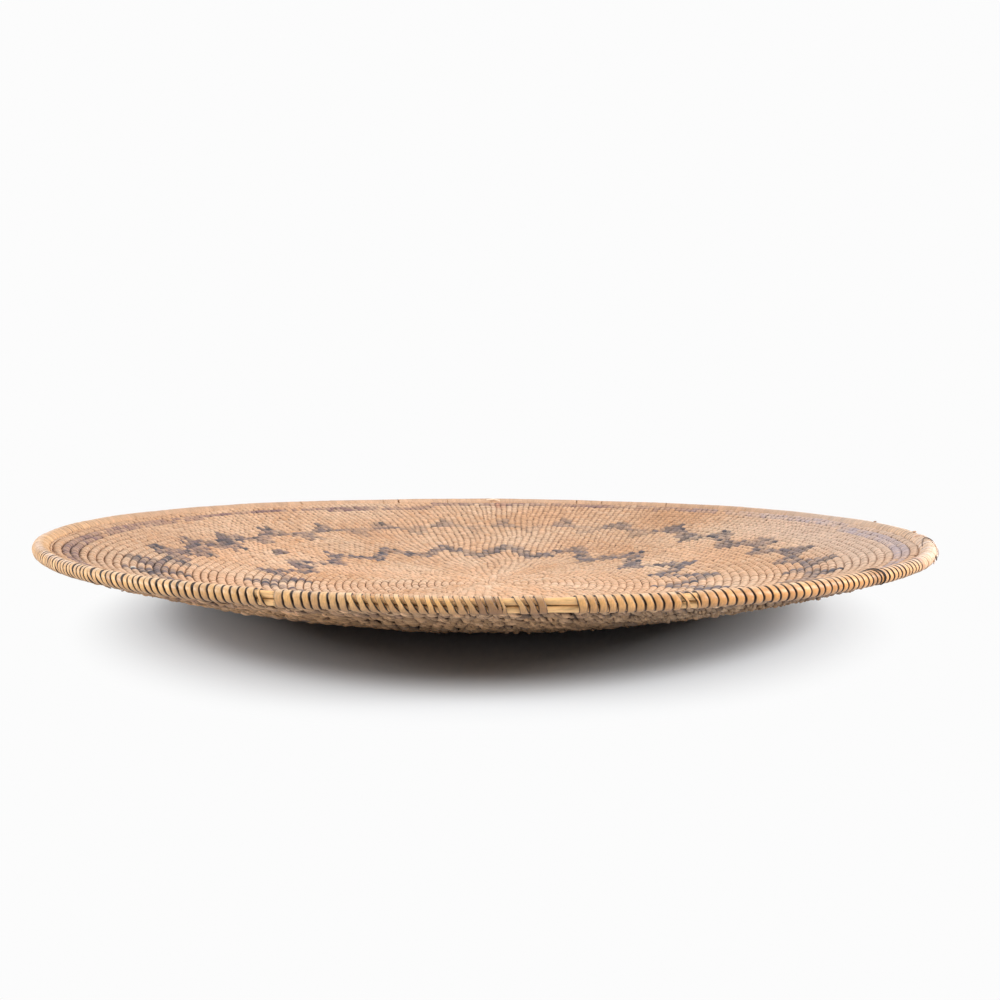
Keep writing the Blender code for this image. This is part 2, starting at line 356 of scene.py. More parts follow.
# %% Dye the zigzags
OUTER_LINE = 189.0
OUTER_LINE_HALF = 2.4
OUTER_TOP = 206.5
OUTER_FOOT = 172.0
OUTER_BASE = 3.6
SIDE_BASE = 1.5
INNER_TOP = 137.0
INNER_FOOT = 107.0
INNER_HALF = 7.4
PEAK_JITTER = 0.35
LOWER_STRENGTH = np.array([
    (0, 0.8), (39, 0.8), (50, 0.4), (70, 0.24), (100, 0.24), (125, 0.55), (160, 0.85),
    (200, 0.85), (330, 0.7)])


def outer_zigzag(angle, radius, jitter, back):
    """How strongly the outer zigzag dyes each stitch, and 1 at the tips."""
    radius = radius - 3.5 * near(degrees, 57, 22) + 2.0 * near(degrees, 114, 12)
    to_peak, to_valley, _ = place_in_wave(degrees, outer_peaks)
    up = (radius - OUTER_LINE) / (OUTER_TOP - OUTER_LINE)
    down = (OUTER_LINE - radius) / (OUTER_LINE - OUTER_FOOT)
    side = ramp(np.abs(np.cos(angle)), 0.8, 0.18)
    base = OUTER_BASE + SIDE_BASE * side * np.where(np.cos(angle) > 0, 0.5, 1.0) - 0.5 * back
    base = base + 0.6 * near(degrees, 38, 30) + 0.6 * near(degrees, 175, 38)
    upper = (up > -0.1) & (up < 1) & (to_peak + jitter < base * (1.12 - up))
    lower = (down > -0.1) & (down < 1) & (to_valley + jitter < base * (1.12 - down))
    on_line = np.abs(radius - OUTER_LINE) < OUTER_LINE_HALF
    strength = np.where(on_line, 0.42 - 0.33 * back + 0.2 * side, 0.0)
    strength = np.where(lower, read_round(LOWER_STRENGTH, degrees), strength)
    strength = np.where(upper, 0.94 - 0.36 * back, strength)
    return strength, np.where(upper & (up > 0.55) | lower & (down > 0.62), 1.0, 0.0)


def inner_zigzag(radius, jitter):
    """Which stitches lie in the wavy inner band."""
    to_peak, _, half = place_in_wave(degrees, inner_peaks)
    foot = INNER_FOOT + 9.0 * np.exp(-(((degrees - 160) / 50) ** 2))
    line = INNER_TOP - (INNER_TOP - foot) * to_peak / half
    half_width = INNER_HALF + 2.0 * near(degrees, 50, 52) + 0.8 * near(degrees, 165, 38)
    return np.abs(radius - line + 1.6 * jitter) < half_width


dye_rng = np.random.default_rng(8)
jitter = dye_rng.normal(0, PEAK_JITTER, stitch_count) * (1 + 1.3 * near(degrees, 168, 38))
back = np.exp(-(((degrees - 85) / 42) ** 2))
strength, tip = outer_zigzag(stitches["angle"], stitch_radius, jitter, back)
inner = inner_zigzag(stitch_radius, jitter)
strength = np.where(inner, 0.95 - 0.19 * back, strength)
tip = np.where(inner, 0.0, tip)
kind = np.where(strength > 0, 1, 0)
print("stitches in the zigzags:", int((kind > 0).sum()))

# %% [markdown]
# The dye of the ring
#
# The ring narrows, fades and moves outwards and back on its way round the tray. Each
# row of its table is a place in degrees, the two edges and how strong the dye is.
# Some stitches in it are left undyed, and no two strands took up the dye alike.

# %% Dye the ring
RING_SPANS = np.array([
    (0, 228.5, 237.4, 0.85), (8, 230.0, 238.5, 0.8), (15, 235.0, 242.5, 0.75),
    (35, 235.5, 243.0, 0.75), (50, 235.0, 243.0, 0.75), (57, 232.0, 242.5, 0.7),
    (67, 234.5, 242.5, 0.75), (101.5, 234.5, 242.5, 0.7), (102.5, 229.5, 234.0, 0.6),
    (108, 229.0, 233.5, 0.6), (120, 229.5, 235.0, 0.75), (130, 230.0, 236.0, 0.85),
    (147, 231.0, 237.6, 1.0), (160, 228.6, 237.6, 0.95), (205, 228.6, 237.6, 0.95),
    (240, 228.6, 237.6, 0.7), (300, 228.6, 237.6, 0.7), (330, 228.5, 237.4, 0.9)])
UNEVEN_DYE = (0.4, 1.2)

ring_field = wander(31, 7, 30, 400.0)


def ring_of(angle, radius):
    """Which stitches lie in the ring, and how strongly it is dyed there."""
    inner, outer, strong = (read_round(RING_SPANS, degrees, column) for column in (1, 2, 3))
    patchy = np.clip(0.9 + 0.3 * ring_field(angle, 0), 0.4, 1.15)
    return (radius > inner) & (radius < outer), np.clip(strong * patchy, 0, 1)


def stitches_at(place, reach, radius, span):
    """Which stitches lie in a small patch: degrees and reach, radius and reach."""
    return (np.abs(degrees - place) < reach) & (np.abs(stitch_radius - radius) < span)


ring, ring_strength = ring_of(stitches["angle"], stitch_radius)
in_ring = ring & (dye_rng.uniform(0, 1, stitch_count) < 0.4 + 0.8 * ring_strength)
strength = np.where(in_ring, ring_strength, strength)
kind = np.where(in_ring, 2, kind)
extra_patch = stitches_at(154, 2.4, 158.5, 5.2)
strength = np.where(extra_patch, 1.0, strength)
kind = np.where(extra_patch, 1, kind)
strength = np.clip(strength * dye_rng.uniform(*UNEVEN_DYE, stitch_count), 0, 1)
print("dyed stitches:", int((kind > 0).sum()), "of", stitch_count)

# %% [markdown]
# The colour of each strand
#
# Split plant fibre varies from strand to strand, from pale straw to brown. The
# strands are painted darker at the back and near the rim at the left, as painted
# shade, and paler near the rim at the right, as a painted whitish sheen. Each stitch
# gets one colour, stored on its points, and the material adds the fine fibres later.
# Slow waves over the tray make some areas warmer and some paler. Colours are linear
# RGB.

# %% Colour the natural strands
STRAW = np.array((0.76, 0.462, 0.282))
HONEY = np.array((0.61, 0.325, 0.162))
BONE = np.array((0.84, 0.63, 0.455))
PAINTED_SHEEN = np.array((0.74, 0.58, 0.48))

warm_areas = wander(41, 9, 9, 120.0)
pale_areas = wander(42, 9, 16, 70.0)


def blend_colour(first, second, share):
    """Mix of two colours, with a share for each strand or each point."""
    return first + (second - first) * share[..., None]


def strand_colours(angle, radius, rng):
    """The colour of an undyed strand at each place."""
    count = len(angle)
    place = np.degrees(angle)
    brown_side = 0.22 * near(place, 148, 42) * ramp(radius, 0, 160)
    warm = 0.22 + brown_side + 0.24 * warm_areas(angle, radius) + rng.normal(0, 0.12, count)
    pale = 0.22 + 0.18 * pale_areas(angle, radius) + rng.normal(0, 0.10, count)
    colour = blend_colour(STRAW, HONEY, np.clip(warm, 0, 0.9))
    colour = blend_colour(colour, BONE, np.clip(pale, 0, 0.8))
    # A painted whitish sheen near the rim at the right.
    colour = blend_colour(colour, PAINTED_SHEEN, 0.6 * (near(place, 4, 30) * ramp(radius, 190, 24)))
    # Painted shade at the back and near the rim at the left.
    painted_shade = 0.10 * near(place, 90, 62) * ramp(radius, 25, 40)
    painted_shade = painted_shade + 0.13 * near(place, 180, 30) * ramp(radius, 170, 30)
    return colour * (rng.normal(1.0, 0.045, count) * (1 - painted_shade))[:, None]


colour_rng = np.random.default_rng(9)
colours = strand_colours(stitches["angle"], stitch_radius, colour_rng)
print("mean natural colour:", colours.mean(0).round(3))

# %% [markdown]
# The colour of the dye
#
# The dye is grey in the zigzags and brown in the ring, and some strands came out
# nearly black. At the right the ring is painted paler, as a painted whitish sheen. A
# stain under the rim at the back and one chipped stitch at the left mark single
# places.

# %% Colour the dyed strands
ZIGZAG_DYE = np.array((0.19, 0.152, 0.157))
DARK_DYE = np.array((0.05, 0.05, 0.066))
BROWN_DYE = np.array((0.20, 0.135, 0.13))
RING_DYE = np.array((0.26, 0.152, 0.142))
RING_SHEEN = np.array((0.56, 0.45, 0.46))
RIM_STAIN = np.array((0.50, 0.22, 0.14))
CHIP_PALE = np.array((0.85, 0.76, 0.64))
VERY_DARK = 0.85
HARDLY_DARK = 0.05

inky = 0.14 + 0.3 * near(degrees, 80, 60) + 0.08 * near(degrees, 180, 35)
dark = np.where(colour_rng.uniform(0, 1, stitch_count) < inky, VERY_DARK, HARDLY_DARK)
tip = np.maximum(tip, near(degrees, 160, 6) * (np.abs(stitch_radius - 190) < 6))
dark = np.maximum(dark, tip * colour_rng.uniform(0.2, 1.0, stitch_count))
dyes = blend_colour(ZIGZAG_DYE, BROWN_DYE, near(degrees, 176, 40))
dyes = blend_colour(dyes, DARK_DYE, dark)
# At the right the ring is painted paler, a painted whitish sheen.
right = np.clip(np.cos(stitches["angle"]) * 2.2 - 1.1, 0, 1)
dyes = np.where((kind == 2)[:, None], blend_colour(RING_DYE, RING_SHEEN, right), dyes)
colours = blend_colour(colours, dyes, strength)
stain = near(degrees, 88.4, 1.2) * np.exp(-(((stitch_radius - 236) / 6) ** 4))
colours = blend_colour(colours, RIM_STAIN, 0.7 * stain)
chip = stitches_at(203, 0.7, 201, 2.6)
colours = np.where(chip[:, None], CHIP_PALE, colours)
print("mean strand colour:", colours.mean(0).round(3))

# %% [markdown]
# Faces from grids
#
# Every strand is a small grid of points, bent over the row. Strands with the same
# count of points make a batch, so numpy can join the points of all of them into
# faces at once. Each strand also gets its own cell in a flat map, so its colours can
# be baked.

# %% Join grids into faces
CELL_EDGE = 0.1
CELL_INSIDE = 0.8


def grid_batch(points, tint, crevice, fibre, flip=False, closed=False):
    """Strands with the same count of points, as arrays of strand, step and side."""
    return {"points": points, "tint": tint, "crevice": crevice, "fibre": fibre,
            "flip": flip, "closed": closed}


def triples(x, y, z):
    """Three values for each point, from arrays that stretch to one shape."""
    return np.stack(np.broadcast_arrays(x, y, z), -1)


def each(values):
    """One value for each strand, ready to meet its grid of points."""
    return values[:, None, None]


def quads_of(batch, first_vertex, first_cell, columns):
    """Faces of a batch, and each face corner's place in the flat map."""
    count, steps, sides, _ = batch["points"].shape
    faces_round = sides if batch["closed"] else sides - 1
    step, side = np.meshgrid(np.arange(steps - 1), np.arange(faces_round), indexing="ij")
    corner_step = np.stack([step, step + 1, step + 1, step], -1).reshape(-1, 4)
    corner_side = np.stack([side, side, side + 1, side + 1], -1).reshape(-1, 4)
    if batch["flip"]:
        corner_step = corner_step[:, ::-1]
        corner_side = corner_side[:, ::-1]
    own = corner_step * sides + corner_side % sides
    quads = first_vertex + each(np.arange(count)) * (steps * sides) + own[None]
    cell = first_cell + np.arange(count)
    inset_u = CELL_EDGE + CELL_INSIDE * corner_side / faces_round
    inset_v = CELL_EDGE + CELL_INSIDE * corner_step / (steps - 1)
    u = (each(cell % columns) + inset_u[None]) / columns
    v = (each(cell // columns) + inset_v[None]) / columns
    return quads.reshape(-1, 4), np.stack([u, v], -1).reshape(-1, 2)


print("grid helpers ready")

# %% [markdown]
# One mesh from many strands
#
# Thousands of strands would be slow as separate objects, so all strands of one
# length of coil share a mesh. Each point keeps three things for the material: its
# strand's colour, how deep in a crevice it lies, and its place along the fibre.

# %% Make pieces from grids


def point_values(mesh, name, kind, key, values):
    """Stores a value on every point of a mesh, for its material to read."""
    kept = mesh.attributes.new(name, kind, "POINT")
    kept.data.foreach_set(key, values.astype(np.float32).ravel())


def new_mesh(name, points, quads, places, caps):
    """A smooth mesh with its flat map. Caps are loops that close the ends of tubes."""
    corners = np.concatenate([quads.reshape(-1)] + [np.asarray(cap) for cap in caps])
    sizes = np.concatenate([np.full(len(quads), 4), [len(cap) for cap in caps]])
    sizes = sizes.astype(np.int32)
    places = np.concatenate([places, np.full((len(corners) - len(places), 2), 0.001)])
    mesh = bpy.data.meshes.new(name)
    mesh.vertices.add(len(points))
    mesh.vertices.foreach_set("co", (points * MM).astype(np.float32).ravel())
    mesh.loops.add(len(corners))
    mesh.loops.foreach_set("vertex_index", corners.astype(np.int32))
    mesh.polygons.add(len(sizes))
    starts = np.concatenate([[0], np.cumsum(sizes)[:-1]]).astype(np.int32)
    mesh.polygons.foreach_set("loop_start", starts)
    mesh.polygons.foreach_set("use_smooth", np.ones(len(sizes), bool))
    mesh.update(calc_edges=True)
    flat = mesh.uv_layers.new(name="OFBake")
    flat.uv.foreach_set("vector", places.astype(np.float32).ravel())
    return mesh


def new_piece(name, batches, material, stands_for=(), caps=()):
    """A mesh object from batches of strands, riding on the tray."""
    batches = [b for b in batches if len(b["points"])]
    columns = math.ceil(math.sqrt(sum(len(b["points"]) for b in batches)))
    points, tints, crevices, fibres, quads, places = [], [], [], [], [], []
    first_vertex = 0
    first_cell = 0
    for batch in batches:
        shape = batch["points"].shape
        quad, place = quads_of(batch, first_vertex, first_cell, columns)
        quads.append(quad)
        places.append(place)
        points.append(batch["points"].reshape(-1, 3))
        tint = batch["tint"]
        if tint.ndim == 2:
            tint = tint[:, None, None, :]
        tints.append(np.broadcast_to(tint, shape).reshape(-1, 3))
        crevices.append(np.broadcast_to(batch["crevice"], shape[:3]).reshape(-1))
        fibres.append(np.broadcast_to(batch["fibre"], shape).reshape(-1, 3))
        first_vertex += shape[0] * shape[1] * shape[2]
        first_cell += shape[0]
    mesh = new_mesh(name, *(np.concatenate(a) for a in (points, quads, places)), caps)
    rgba = np.ones((len(mesh.vertices), 4))
    rgba[:, :3] = np.concatenate(tints)
    point_values(mesh, "tint", "FLOAT_COLOR", "color", rgba)
    point_values(mesh, "crevice", "FLOAT", "value", np.concatenate(crevices))
    point_values(mesh, "fibre", "FLOAT_VECTOR", "vector", np.concatenate(fibres))
    mesh.materials.append(material)
    piece = bpy.data.objects.new(name, mesh)
    bpy.context.scene.collection.objects.link(piece)
    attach(piece, "root")
    if stands_for:
        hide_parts(*stands_for)
    return piece


print("piece helpers ready")

# %% [markdown]
# Strand materials
#
# A sewing strand is a thin flat strip with long fibres. The material takes the
# strand's own colour, breaks it up with noise that is stretched along the fibre,
# and darkens the crevices with painted shade and dirt. The same noise drives the
# roughness and a fine bump. One function makes all of them, because the finishes
# differ only in a few numbers.

# %% Make the strand materials
FIBRE_STRETCH = (4.5, 0.35, 1.0)
BUMP_HEIGHT = 0.12 * MM


def link(tree, source, target):
    """Joins two sockets."""
    tree.links.new(source, target)


def add_node(tree, kind, inputs=None, **settings):
    """A new node. Each of its inputs gets a constant, or a link from a socket."""
    node = tree.nodes.new(kind)
    for name, value in settings.items():
        setattr(node, name, value)
    for name, value in (inputs or {}).items():
        if isinstance(value, bpy.types.NodeSocket):
            link(tree, value, node.inputs[name])
        else:
            node.inputs[name].default_value = value
    return node


def spread(tree, value, low, high, dark, light):
    """Stretches a value from one range to another."""
    return add_node(tree, "ShaderNodeMapRange", {
        "Value": value, "From Min": low, "From Max": high, "To Min": dark, "To Max": light,
    }).outputs["Result"]


def strand_material(name, crevice_colour, streak_low, rough_low, rough_high, bump):
    """Fibre with streaks along it, crevices darkened with painted shade and dirt, and a fine
    bump.
    """
    made = bpy.data.materials.new(name)
    made.use_nodes = True
    tree = made.node_tree
    shader = tree.nodes["Principled BSDF"]
    tint, crevice, fibre = (add_node(tree, "ShaderNodeAttribute", attribute_name=kept)
                            for kept in ("tint", "crevice", "fibre"))
    stretched = add_node(tree, "ShaderNodeMapping", {
        "Vector": fibre.outputs["Vector"], "Scale": FIBRE_STRETCH})
    streaks = add_node(tree, "ShaderNodeTexNoise", {
        "Vector": stretched.outputs["Vector"], "Scale": 1.0, "Detail": 4.0}).outputs["Fac"]
    blotches = add_node(tree, "ShaderNodeTexNoise", {
        "Vector": fibre.outputs["Vector"], "Scale": 0.8, "Detail": 3.0}).outputs["Fac"]
    both = add_node(tree, "ShaderNodeMath", {
        0: spread(tree, streaks, 0.3, 0.7, streak_low, 2.0 - streak_low),
        1: spread(tree, blotches, 0.35, 0.75, 1.06, 0.86)}, operation="MULTIPLY")
    shaded = add_node(tree, "ShaderNodeVectorMath", {
        0: tint.outputs["Color"], "Scale": both.outputs["Value"]}, operation="SCALE")
    crevice_dirt_and_shade = add_node(tree, "ShaderNodeMix", {
        "Factor": crevice.outputs["Fac"], "A": shaded.outputs["Vector"],
        "B": (*crevice_colour, 1.0)}, data_type="RGBA")
    raised = add_node(tree, "ShaderNodeBump", {
        "Height": streaks, "Strength": bump, "Distance": BUMP_HEIGHT})
    link(tree, crevice_dirt_and_shade.outputs["Result"], shader.inputs["Base Color"])
    rough = spread(tree, streaks, 0.0, 1.0, rough_low, rough_high)
    link(tree, rough, shader.inputs["Roughness"])
    link(tree, raised.outputs["Normal"], shader.inputs["Normal"])
    return made


# The first colour of each material is the painted shade and dirt in its crevices.
natural_strand = strand_material("natural_strand", (0.18, 0.083, 0.045), 0.80, 0.55, 0.8, 0.6)
under_strand = strand_material("under_strand", (0.05, 0.026, 0.016), 0.74, 0.6, 0.85, 0.9)
dyed_strand = strand_material("dyed_strand", (0.05, 0.035, 0.03), 0.72, 0.5, 0.78, 0.6)
rim_strand = strand_material("rim_strand", (0.04, 0.018, 0.01), 0.8, 0.32, 0.56, 0.6)
rod_wood = strand_material("rod_wood", (0.09, 0.045, 0.02), 0.72, 0.3, 0.55, 0.7)
core_fibre = strand_material("core_fibre", (0.03, 0.016, 0.01), 0.65, 0.8, 0.95, 0.8)
print("materials:", len(bpy.data.materials))

# %% [markdown]
# The section of a row
#
# A stitch is drawn in the row's own section, across the row and up from its middle.
# The section leans with the wall. The waves from the start bend it, least at the
# centre, and nothing may sink below the table.

# %% Place points on a row
ROW_WANDER = 0.3
ROW_LIFT = 0.22
CALM_RADIUS = 60
LOWEST = 0.02


def on_row(turn, angle, across, up):
    """Points from turns, angles, and places in the row's own section."""
    middle = row_middle(turn)
    slope = wall_slope(middle)
    lean = np.arctan(slope)
    size = ramp(middle, 0, CALM_RADIUS)
    wobble = ROW_WANDER * size * row_wobble(angle, middle)
    lift = ROW_LIFT * size * height_wobble(angle, middle)
    radius = middle + wobble + across - up * np.sin(lean)
    centre = wall_height(middle) + warp(middle, angle) + lift
    height = centre + across * slope + up * np.cos(lean)
    return triples(radius * np.cos(angle), radius * np.sin(angle), np.maximum(height, LOWEST))


def thickness_share(turn):
    """Rows are thinner where they are narrow, at the start and at the end."""
    return 0.5 + 0.5 * ramp(row_half(turn), 0, ROW_PITCH / 2)


print("thickness at the end of the coil:", round(float(thickness_share(LAST_TURN)), 2))

# %% [markdown]
# Stitches on the face of the tray
#
# Seen from above, each stitch is a short strip that arches over the row, from one
# groove to the next. Its edges are lower than its middle, so a thin dark seam
# shows between neighbours, and the seams and the grooves between rows are also
# darkened with painted shade and dirt. The strip leans a little, because the strand
# moves forward with every stitch. The grid has ten steps across the row and seven
# points across the strip, closer together near the edges, where it bends most.
# At the back of the tray the seams are wider and rounder, as the picture shows.
# A style holds what differs between the face and the underside.

# %% Shape the face stitches
FACE_STEPS = np.array((-1.06, -0.95, -0.8, -0.5, -0.17, 0.17, 0.5, 0.8, 0.95, 1.06))
STRIP_SIDES = np.array((-1.0, -0.88, -0.45, 0.0, 0.45, 0.88, 1.0))
FACE_STYLE = {"lean": 0.35, "spread": 0.4, "pinch": 0.18, "rise": 0.13, "groove": 1.25,
              "bulge": 0.36, "drop": 0.42, "seam_dirt_and_shade": 0.58, "groove_dirt_and_shade": 0.40,
              "rubbed": 0.4, "cover": 1.01, "calm": 0.35, "soft": 1.0,
              "corner_dirt_and_shade": 0.35}
OUTERMOST = 0.99
FIRST_ROWS = 7
FIRST_ROWS_WIDER = 0.09
SEED_SPREAD = 400


def picked(which):
    """What is known of some stitches, ready to meet their grids."""
    return {name: each(part[which]) for name, part in stitches.items()}


def strip_grid(which, steps, sides, below, style, rng, part_middle=0.0, part_half=1.0):
    """Strips over or under the row for some stitches, with their crevice depth.

    A strip fills its stitch's width, or only a part of it, from a middle and a half width.
    """
    one_each = (len(which), 1, 1)
    s = steps[None, :, None]
    u = sides[None, None, :]
    v = part_middle + u * part_half
    pick = picked(which)
    middle = row_middle(pick["turn"])
    bend = np.where(s < 0, pick["inner"] * -s, pick["outer"] * s)
    cover = style["cover"] - style["pinch"] * np.abs(s) ** 3
    cover = cover + FIRST_ROWS_WIDER * (pick["row"] < FIRST_ROWS)
    width = np.where(v < 0, pick["before"], pick["after"]) * cover
    lean = rng.normal(style["lean"], style["spread"], one_each)
    angle = pick["angle"] + v * width + bend + s * lean / middle
    turn = np.where(pick["row"] < 0, KNOT_TURN, pick["row"] + angle / FULL_TURN)
    half = row_half(turn)
    thick = COIL_THICKNESS / 2 * thickness_share(turn)
    dive = np.maximum(0, np.abs(s) - 0.93) * 6.0
    rubbed = 1 - style["rubbed"] * np.clip(np.cos(pick["angle"]), 0, 1) ** 2
    place = np.degrees(pick["angle"])
    calm = 1 - style["calm"] * (near(place, 270, 50) - 0.5 * near(place, 90, 60))
    crown = thick - style["groove"] * rubbed * np.abs(s) ** 2.3 - dive
    soft = style["soft"] * near(place, 90, 62)
    sag = style["bulge"] * (1 + 0.7 * soft) * np.abs(u) ** 2.5
    sag = sag + np.where(np.abs(u) > OUTERMOST, style["drop"], 0.0) * (1 - 0.8 * soft)
    tall = rng.normal(0, style["rise"], one_each)
    shift = rng.normal(0, 0.11, one_each)
    up = crown - sag + tall
    points = on_row(turn, angle, s * half + shift, -up if below else up)
    # Painted shade and dirt darken the seams and grooves, by an amount that changes round the
    # tray.
    seam = np.clip((np.abs(u) - 0.6 + 0.35 * soft) / (0.4 + 0.35 * soft), 0, 1) ** 1.5
    groove = ramp(np.abs(s), 0.66, 0.4) ** 1.5
    dirt_and_shade = rng.uniform(0.5, 1.3, one_each)
    filled = rubbed - style["calm"] * near(place, 90, 60) * ramp(middle, 150, -40)
    filled = filled + 0.5 * near(place, 186, 38) * ramp(middle, 120, 40)
    calm = calm * (1 - 0.3 * soft)
    crevice = dirt_and_shade * (style["seam_dirt_and_shade"] * calm * seam + style["groove_dirt_and_shade"] * filled * groove)
    crevice = np.clip(crevice + style["corner_dirt_and_shade"] * seam * groove, 0, 1)
    fibre = triples(v * width * middle, s * half, rng.uniform(0, SEED_SPREAD, one_each))
    return points, crevice, fibre


def face_batch(which, rng):
    """The strips on the face for some stitches."""
    points, crevice, fibre = strip_grid(
        which, FACE_STEPS, STRIP_SIDES, False, FACE_STYLE, rng)
    return grid_batch(points, colours[which], crevice, fibre)


print("face strip:", len(FACE_STEPS), "by", len(STRIP_SIDES), "points")

# %% [markdown]
# Stitches on the underside
#
# The back of such a tray is rougher. There the strand was pushed through the row
# below, so the strips are slanted, uneven and pinched at their ends. The awl split
# about half of them in two, and some are gone, which leaves dark holes. The
# underside is also greyer, less so near the rim. It is painted darker under the front
# right and lighter under the front left, as painted shade and painted light.

# %% Shape the underside stitches
BACK_STEPS = np.array((-1.08, -0.92, -0.7, -0.35, 0.0, 0.35, 0.7, 0.92, 1.08))
BACK_SIDES = np.array((-1.0, -0.75, 0.0, 0.75, 1.0))
BACK_STYLE = {"lean": -1.7, "spread": 0.6, "pinch": 0.62, "rise": 0.32, "groove": 1.6,
              "bulge": 0.5, "drop": 0.5, "seam_dirt_and_shade": 0.95, "groove_dirt_and_shade": 0.8,
              "rubbed": 0.0, "cover": 0.88, "calm": 0.0, "soft": 0.0,
              "corner_dirt_and_shade": 1.0}
BACK_SPLIT = 0.5
BACK_MISSING = 0.12
BACK_GREY = np.array((0.40, 0.228, 0.108))
BACK_WORN = np.array((0.93, 0.89, 0.80))


def back_batches(which, rng):
    """The strips under the row: whole ones, and ones that split in two."""
    kept = which[rng.uniform(0, 1, len(which)) > BACK_MISSING]
    split = rng.uniform(0, 1, len(kept)) < BACK_SPLIT
    share = rng.uniform(-0.3, 0.3, (int(split.sum()), 1, 1))
    parts = [(kept[~split], 0.0, 1.0), (kept[split], (share - 1) / 2, (share + 1) / 2),
             (kept[split], (share + 1) / 2, (1 - share) / 2)]
    batches = []
    for chosen, middle, half in parts:
        points, crevice, fibre = strip_grid(
            chosen, BACK_STEPS, BACK_SIDES, True, BACK_STYLE, rng, middle, half)
        place = degrees[chosen]
        near_rim = ramp(stitch_radius[chosen], 232, 8)
        shade = rng.uniform(0.25, 0.95, len(chosen)) * (1 - 0.6 * near_rim)
        tint = blend_colour(colours[chosen] * BACK_WORN, BACK_GREY, shade)
        # Painted shade under the front right and painted light under the front left.
        shaded = 1.03 - 0.28 * near(place, 298, 22) + 0.26 * near(place, 236, 20)
        tint = tint * (rng.normal(1.0, 0.19, len(chosen)) * shaded)[:, None]
        batches.append(grid_batch(points, tint, crevice, fibre, flip=True))
    return batches


print("back strip:", len(BACK_STEPS), "by", len(BACK_SIDES), "points")

# %% [markdown]
# Clipped ends
#
# Ends of strands were clipped off on the underside and stick out as stubs. They are
# thin tubes with five sides, spread at random, with two thicker clumps at the front
# right, where the picture shows them. The flat middle has none, so it lies flat.

# %% Shape the clipped ends
STUB_SHARE = 0.06
STUB_SIDES = 5
STUB_STEPS = np.array((0.0, 0.35, 0.7, 0.97, 1.0))
STUB_LENGTHS = (1.0, 3.4)
STUB_RADII = (0.3, 0.6)
STUB_TIP = 0.03
NO_STUBS_BEFORE = 600
clumps = stitches_at(289.4, 0.9, 230, 6) | stitches_at(294.5, 1.4, 228, 7)


def stub_batch(which, rng):
    """Short clipped ends that stick out of the underside."""
    rooted = which[(rng.uniform(0, 1, len(which)) < STUB_SHARE) | clumps[which]]
    one_each = (len(rooted), 1, 1)
    step = STUB_STEPS[None, :, None]
    side = circle(STUB_SIDES)[None, None, :]
    pick = picked(rooted)
    middle = row_middle(pick["turn"])
    reach = rng.uniform(*STUB_LENGTHS, one_each)
    turned = rng.uniform(0, FULL_TURN, one_each)
    taper = np.where(step < 1, 1 - 0.35 * step, STUB_TIP)
    thick = rng.uniform(*STUB_RADII, one_each) * taper
    along = reach * step
    across = rng.uniform(-0.9, 0.9, one_each) * row_half(pick["turn"])
    bow = 1.25 * np.sin(step * 1.9) * reach / STUB_LENGTHS[1]
    down = COIL_THICKNESS / 2 - 0.9 + bow
    out = across + along * np.cos(turned) + thick * np.cos(side) * np.sin(turned)
    ahead = along * np.sin(turned) - thick * np.cos(side) * np.cos(turned)
    points = on_row(pick["turn"], pick["angle"] + ahead / middle, out,
                    -down - thick * np.sin(side))
    tint = blend_colour(colours[rooted], BACK_GREY * 0.7, rng.uniform(0, 1, len(rooted)))
    fibre = triples(thick * np.cos(side), along, turned * 9)
    # Painted shade darkens each stub towards its root.
    return grid_batch(points, tint, 0.45 * (1 - step), fibre, closed=True)


print("stitches in the clumps:", int(clumps.sum()))

# %% [markdown]
# The foundation
#
# Inside the stitches runs a bundle of rods and grass. It is almost wholly hidden,
# but it closes the gaps, and where a strip is missing it is what shows. Its very dark
# brown is partly the fibre's own colour and partly painted shade in the gaps and
# holes. A tube with ten sides follows the spiral. It is a little wider than the row,
# so that rows touch, and the last row reaches under the rim's rods. No light comes
# through.

# %% Shape the foundation
STATIONS_A_TURN = 96
CORE_SIDES = 10
CORE_OVERLAP = 0.3
CORE_INSET = 1.5
CORE_BROWN = np.array([(0.10, 0.055, 0.03)])
UNDER_RODS = 1.3
LAST_ROW = WALL_RADIUS - 0.9


def core_batch(start, end):
    """The foundation between two turns, and the faces that close its ends."""
    count = max(3, round((end - start) * STATIONS_A_TURN) + 1)
    turn = np.linspace(start, end, count)[:, None]
    around = circle(CORE_SIDES)[None, :]
    edge = row_edge(turn)
    to_rods = np.where(edge > LAST_ROW, WALL_RADIUS + UNDER_RODS - edge, 0.0)
    thick = (COIL_THICKNESS / 2 - CORE_INSET) * thickness_share(turn)
    across = (row_half(turn) + CORE_OVERLAP) * np.cos(around)
    across = across + to_rods * np.clip(np.cos(around), 0, 1)
    points = on_row(turn, (turn % 1.0) * FULL_TURN, across, thick * np.sin(around))[None]
    fibre = triples(2 * np.cos(around), turn * 200.0, 3 * np.sin(around))[None]
    first = list(range(CORE_SIDES))
    last = list(range((count - 1) * CORE_SIDES, count * CORE_SIDES))
    return grid_batch(points, CORE_BROWN, 0.5, fibre, closed=True), [first, last[::-1]]


print("foundation sides:", CORE_SIDES)

# %% [markdown]
# Dress the coil
#
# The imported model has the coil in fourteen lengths, where the colours change, and
# a knot at the centre. Each length is replaced by its foundation, its natural
# strands above and below and, where there are any, its dyed strands. They are
# separate pieces, so each can take another finish.

